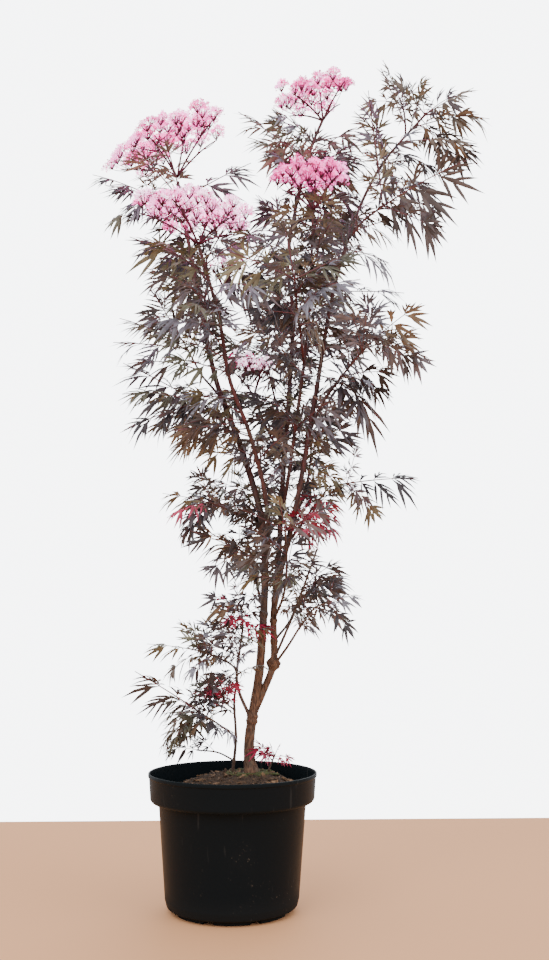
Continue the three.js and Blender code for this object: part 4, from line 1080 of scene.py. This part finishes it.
def makeHead(part, throw, petals, stalks):
    # Rays, the branches that leave them, and florets on stalks round the end of each branch. The
    # clusters lie by the golden angle on a disc with as many lobes as rays.
    head = dict(part["head"], dome=part["head"]["dome"] * blossom["flatness"])
    rays = np.array([blade.stalk(np.linspace(0, 0.84, 12)) for blade in part["blades"]])
    addStalks(stalks, rays, blossom["rayRadius"], 7)
    count, florets, sectors = head["clusters"], head["florets"], blossom["sectors"]
    step = np.arange(count) + 0.5
    angle = step * golden
    even, waved = blossom["reach"]
    reach = np.sqrt(step / count) * (even + waved * np.cos(head["rings"][0][0] * angle - math.pi))
    lift = blossom["lift"] * throw.normal(size=count)
    nodes = domePoint(head, reach, angle)
    nodes[:, 2] += lift - blossom["sink"] * (0.8 + 0.4 * throw.random(count))
    nearest = np.linalg.norm(nodes[:, None] - rays[:, -1], axis=2).argmin(1)
    leaving = rays[nearest, throw.integers(5, 10, count)]
    addStalks(stalks, arcs(leaving, nodes, -0.08, 7), blossom["branchRadius"], 5)
    k = np.arange(florets) + 0.5
    local = np.sqrt(k / florets) * 0.98 / math.sqrt(count) * throw.uniform(0.75, 1.15, (count, 1))
    turn = k * golden
    x = (reach[:, None] * np.cos(angle)[:, None] + local * np.cos(turn + angle[:, None])).ravel()
    y = (reach[:, None] * np.sin(angle)[:, None] + local * np.sin(turn + angle[:, None])).ravel()
    x, y = (value + throw.normal(0, blossom["unevenness"], value.size) for value in (x, y))
    places = domePoint(head, np.minimum(np.hypot(x, y), blossom["edge"]), np.arctan2(y, x))
    total = len(places)
    places[:, 2] += (np.tile(1 - k / florets, count) * 12 - 4 + np.repeat(lift, florets)
                     + throw.normal(0, 2, total))
    # Each cluster's node parts into forks, one for each sector of its florets, and a fork's end lies
    # well on the way to the middle of its sector.
    sector = (turn % circle * sectors / circle).astype(int)
    member = (sector == np.arange(sectors)[:, None]).astype(float)
    share = member / member.sum(1, keepdims=True)
    middles = np.einsum("sf,cfx->csx", share, places.reshape(count, florets, 3))
    parting = throw.uniform(*blossom["forkReach"], (count, sectors, 1))
    forks = nodes[:, None] + (middles - nodes[:, None]) * parting
    forked = arcs(np.repeat(nodes, sectors, 0), forks.reshape(-1, 3), -0.06, 4)
    addStalks(stalks, forked, blossom["forkRadius"], 4)
    sources = forks[:, sector].reshape(-1, 3)
    outward = unit(places - sources)
    addStalks(stalks, arcs(sources, places - 0.6 * outward, 0.04, 3), blossom["pedicelRadius"], 3, 1)
    facing = unit(outward + blossom["unrest"] * throw.normal(size=places.shape))
    sizes, spins = throw.uniform(*blossom["floretRadius"], total), throw.uniform(0, circle, total)
    isBud = throw.random(total) < blossom["budsOf"].get(part["name"], blossom["usualBuds"])
    weights = np.array(blossom["shares"][part["name"]])
    weights = weights / weights.sum()
    ofCluster, own = throw.choice(4, count, p=weights), throw.choice(4, total, p=weights)
    tones = np.where(throw.random(total) < blossom["clusterShare"], np.repeat(ofCluster, florets), own)
    heart, bud = list(blossom["tones"]).index("heart"), list(blossom["tones"]).index("bud")
    verts, tris, sides = floretTemplate()
    faceTones = np.where(sides == 1, heart, tones[~isBud][:, None]).ravel()
    setOn(petals, verts, tris, places[~isBud], facing[~isBud], sizes[~isBud], spins[~isBud], faceTones)
    budSizes = sizes[isBud] * blossom["budSize"]
    setOn(petals, *budTemplate(), places[isBud], facing[isBud], budSizes, spins[isBud], bud)


def makeBlossom():
    throw = np.random.default_rng(blossom["seed"])
    finishes = [plainFinish(name + "Petal", tone, 0.65, 0.3, 0.04, blossom["glow"])
                for name, tone in blossom["tones"].items()]
    stalks = Surface()
    for piece, names in blossom["groups"].items():
        petals, parts = Surface(), partsWith("head", names)
        for part in parts:
            makeHead(part, throw, petals, stalks)
        petals.build(piece, finishes, "blossom", [part["name"] for part in parts], smooth=False)
    stalks.build("blossomStalks", [plainFinish("rayFinish", blossom["rayTone"], 0.5, 0.3),
                                   plainFinish("pedicelFinish", blossom["pedicelTone"], 0.5, 0.3)], "stem")


makeBlossom()
print("blossom made")


def rounded(points, radius, steps=4):
    # Rounds each inner corner of a profile by a short curve: (1-t)^2 a + 2 t (1-t) b + t^2 c.
    points = [np.array(point, float) for point in points]
    out = [points[0]]
    for before, here, after in zip(points, points[1:], points[2:]):
        cut = min(radius, 0.45 * np.linalg.norm(here - before), 0.45 * np.linalg.norm(after - here))
        a, c = here + unit(before - here) * cut, here + unit(after - here) * cut
        out += [(1 - t) ** 2 * a + 2 * t * (1 - t) * here + t ** 2 * c for t in np.linspace(0, 1, steps)]
    return np.array([*out, points[-1]])


def buildTurned(name, verts, low, high, material, slot, nodes):
    # Rings of vertices round the upright axis, closed by a point below and one above.
    surface = Surface()
    surface.add(np.concatenate([verts.reshape(-1, 3), [low, high]]), *skinFaces(*verts.shape[:2]))
    surface.build(name, [material], slot, nodes)


def makePot():
    # A profile of (radius, height) turned round the upright axis, with notches under its foot.
    top, wall, foot, corner, body = (pot[key] for key in ("height", "wall", "footRadius", "cornerRadius",
                                                          "bodyTopRadius"))
    collar, rim, cornerTop, collarFoot = (pot["collarFootRadius"], pot["rimRadius"], pot["cornerHeight"],
                                          top - pot["collarHeight"])
    profile = rounded([
        (0.01, 0), (foot - 11, 0), (foot, 0), (foot + 1, 5), (corner - 3, 9), (corner, cornerTop),
        (body, collarFoot - 2), (collar - 3, collarFoot - 1), (collar, collarFoot + 3), (rim - 1.6, top - 7),
        (rim, top - 6), (rim, top - 0.4), (rim - wall - 0.6, top), (rim - wall - 1.2, top - 5),
        (collar - wall, collarFoot + wall), (body - wall, collarFoot + wall - 2), (corner - wall, cornerTop),
        (corner - wall - 6, wall + 6), (0.01, wall + 6)], pot["rounding"])
    angle = anglesOf(pot["segments"])
    radius, height = profile[:, :1], profile[:, 1:]
    verts = ringAt(radius, angle, height)
    depth, width, notchTop = pot["notchSize"]
    turn = circle / pot["notches"]
    around = np.arctan2(verts[..., 1], verts[..., 0])
    sideways = np.abs(around % turn - 0.5 * turn) * foot
    outer = np.arange(len(profile))[:, None] < len(profile) // 2
    inNotch = (sideways < 0.5 * width) & (radius > foot - 0.5 * depth - 0.5) & outer
    verts[..., 2] = np.where(inNotch, np.maximum(verts[..., 2], notchTop), verts[..., 2])
    material = finish("potFinish", potInputs)
    buildTurned("nurseryPot", verts, (0, 0, 0), (0, 0, wall + 6), material, "pot", ["pot"])


soil = {
    "ringShares": (0.36, 0.55, 0.78, 1), "ringHeights": (213, 207, 193, 184), "segments": 180, "rings": 90,
    "crumb": 1.3, "chips": 260, "chipSize": (2.2, 7.5), "chipTilt": 0.45, "chipLift": 1.2, "wallGap": 9,
    "trunkGap": 19, "mossClumps": 46, "mossRing": (17, 42), "mossSize": (4, 9), "mossTilt": 0.12, "seed": 3,
    "finish": ("compostFinish", [(34, 24, 17), (92, 66, 46), (58, 42, 30)], (240, 5, 0.7, 0.35, 0.7),
               (45, 3, 0.55, 0.45, 0.7, 0.5), (0.8, 1), (0.9, 0.004), 0.95),
    "chipFinish": ("chipFinish", [(66, 44, 30), (140, 106, 76), (70, 48, 34)], (60, 1, 0.55, 0.35, 0.65),
                   (500, 3, 0.55, 0.4, 0.7, 0.5), (0, 1), (0.5, 0.001), 0.9),
    "mossFinish": ("mossFinish", [(34, 38, 16), (92, 98, 44), (92, 84, 48)], (700, 3, 0.55, 0.35, 0.7),
                   (90, 2, 0.55, 0.4, 0.7, 0.4), (1, 0), (1.0, 0.002), 0.95),
}
soilRadius = pot["collarFootRadius"] - pot["wall"] - 0.6


def soilHeight(x, y):
    # The heap's height: 213 round the trunk, falling by rings to 184 at the wall.
    footX, footY = trunkFoot[:2]
    dx, dy = x - footX, y - footY
    a = dx ** 2 + dy ** 2 + 1e-6
    b = 2 * (footX * dx + footY * dy)
    c = footX ** 2 + footY ** 2 - soilRadius ** 2
    toWall = (-b + np.sqrt(b ** 2 - 4 * a * c)) / (2 * a)
    return np.interp(1 / toWall, (0, *soil["ringShares"]), (soilTop, *soil["ringHeights"]))


def makeSoil(throw):
    # Rings from under the heap, up the wall and in to the trunk: the heap's height plus crumb times
    # slow sines and a fine unevenness, which fade out at the trunk.
    angle = anglesOf(soil["segments"])
    share = np.linspace(0.01, 1, soil["rings"])[:, None]
    x = trunkFoot[0] + (soilRadius * np.cos(angle) - trunkFoot[0]) * share
    y = trunkFoot[1] + (soilRadius * np.sin(angle) - trunkFoot[1]) * share
    waves = throw.uniform(-1.1, 1.1, (9, 3)) * (1, 1, 3)
    crumbs = sum(np.sin(x * a + y * b + phase) for a, b, phase in waves) / 3
    fade = np.clip((share - 0.1) / 0.15, 0, 1)
    height = soilHeight(x, y) + soil["crumb"] * fade * (crumbs + throw.normal(0, 0.35, x.shape))
    wall = pot["wall"]
    corner, body, floor = pot["cornerRadius"] - wall, pot["bodyTopRadius"] - wall, wall + 6.3
    lower = [ringAt(radius, angle, z) for radius, z in (
        (corner - 6.3, floor), (corner - 0.3, 20.3), (body - 0.3, 175.7), (soilRadius - 0.3, 177.7))]
    verts = np.concatenate([lower, np.stack([x, y, height], -1)[::-1]])
    material = grainyFinish(*soil["finish"])
    buildTurned("compost", verts, (0, 0, floor), (*trunkFoot[:2], soilTop), material, "soil", ["soil"])


def makeChips(throw):
    # Chips of wood and bark, flat six-sided slivers tilted on the heap.
    spread = np.sqrt(throw.random(soil["chips"])) * (soilRadius - soil["wallGap"])
    around = throw.uniform(0, circle, soil["chips"])
    x, y = spread * np.cos(around), spread * np.sin(around)
    clear = np.hypot(x - trunkFoot[0], y - trunkFoot[1]) > soil["trunkGap"]
    x, y = x[clear], y[clear]
    places = np.stack([x, y, soilHeight(x, y) + soil["chipLift"]], -1)
    facing = unit(up + soil["chipTilt"] * throw.normal(size=places.shape))
    sizes, spins = throw.uniform(*soil["chipSize"], len(places)), throw.uniform(0, circle, len(places))
    outline = [(-1, -0.25), (0.1, -0.42), (1, -0.12), (0.8, 0.3), (-0.2, 0.4), (-0.9, 0.2)]
    chip = np.array([(u, v, w) for w in (-0.09, 0.09) for u, v in outline])
    caps = [(6, 6 + i, 7 + i) for i in range(1, 5)] + [(0, i + 1, i) for i in range(1, 5)]
    chips = Surface()
    setOn(chips, chip, np.concatenate([halved(skinFaces(2, 6)[0]), caps]), places, facing, sizes, spins)
    chips.build("woodChips", [grainyFinish(*soil["chipFinish"])], "soil", smooth=False)


def makeMoss(throw):
    # Moss in low lumpy domes round the trunk's foot: rings of radius cos(tilt), closed beneath.
    sides, rings, count = 12, 5, soil["mossClumps"]
    angle = anglesOf(sides)
    verts = []
    for ring in range(rings):
        tilt = ring / rings * 0.5 * math.pi
        radius = math.cos(tilt) * (1 + 0.12 * np.sin(3 * angle + ring) + 0.08 * np.sin(5 * angle + 2 * ring))
        verts.append(ringAt(radius, angle, 0.42 * math.sin(tilt)))
    dome = np.concatenate([*verts, [(0, 0, -0.1)], [(0, 0, 0.44)]])
    quads, tris = skinFaces(rings, sides)
    around, spread = throw.uniform(0, circle, count), throw.uniform(*soil["mossRing"], count)
    x, y = trunkFoot[0] + spread * np.cos(around) * 1.1, trunkFoot[1] + spread * np.sin(around)
    places = np.stack([x, y, soilHeight(x, y)], -1)
    facing = unit(up + soil["mossTilt"] * throw.normal(size=places.shape))
    moss = Surface()
    sizes, spins = throw.uniform(*soil["mossSize"], count), throw.uniform(0, 6, count)
    setOn(moss, dome, np.concatenate([halved(quads), tris]), places, facing, sizes, spins)
    moss.build("moss", [grainyFinish(*soil["mossFinish"])], "leaf")


makePot()
soilThrow = np.random.default_rng(soil["seed"])
makeSoil(soilThrow)
makeChips(soilThrow)
makeMoss(soilThrow)
print("pot and compost made")

studio = {
    "floor": (238, 174, 124), "floorSize": (3.0, 2.4, 0.76), "wall": (250, 252, 255), "wallGlow": 7.0,
    "skyGlow": 1.15,
    "lights": [("keyLight", (-1.5, -2.4, 3.0), 62, 2.4), ("fillLight", (2.4, -1.8, 1.9), 26, 2.2),
               ("backLight", (0.6, 2.6, 2.6), 36, 2.4)], "lit": (0.05, 0, 0.8),
}


def makeStage():
    # A plain pale floor with a bright, even surround, as in front of a white wall: what the eye meets
    # beyond the floor glows more than what lights the plant.
    side, front, back = studio["floorSize"]
    mesh = bpy.data.meshes.new("paleFloor")
    corners = [(-side, -front, 0), (side, -front, 0), (side, back, 0), (-side, back, 0)]
    mesh.from_pydata(corners, [], [(0, 1, 2, 3)])
    inputs = {"Base Color": rgba(studio["floor"]), "Roughness": 0.75}
    mesh.materials.append(finish("floorFinish", lambda place: inputs))
    floor = addThing("paleFloor", mesh)
    world = bpy.data.worlds.new("softSky")
    bpy.context.scene.world = world
    world.use_nodes = True
    world.node_tree.nodes.clear()
    seen = Shade(world.node_tree).make("ShaderNodeLightPath")
    glow = seen * (studio["wallGlow"] - studio["skyGlow"]) + studio["skyGlow"]
    inputs = {"Color": rgba(studio["wall"]), "Strength": glow}
    seen.end(inputs, "ShaderNodeBackground", "ShaderNodeOutputWorld")
    for name, place, power, size in studio["lights"]:
        light = bpy.data.lights.new(name, "AREA")
        light.energy, light.size = power, size
        addAimed(name, light, place, Vector(studio["lit"]) - Vector(place))


makeStage()
print("stage made")
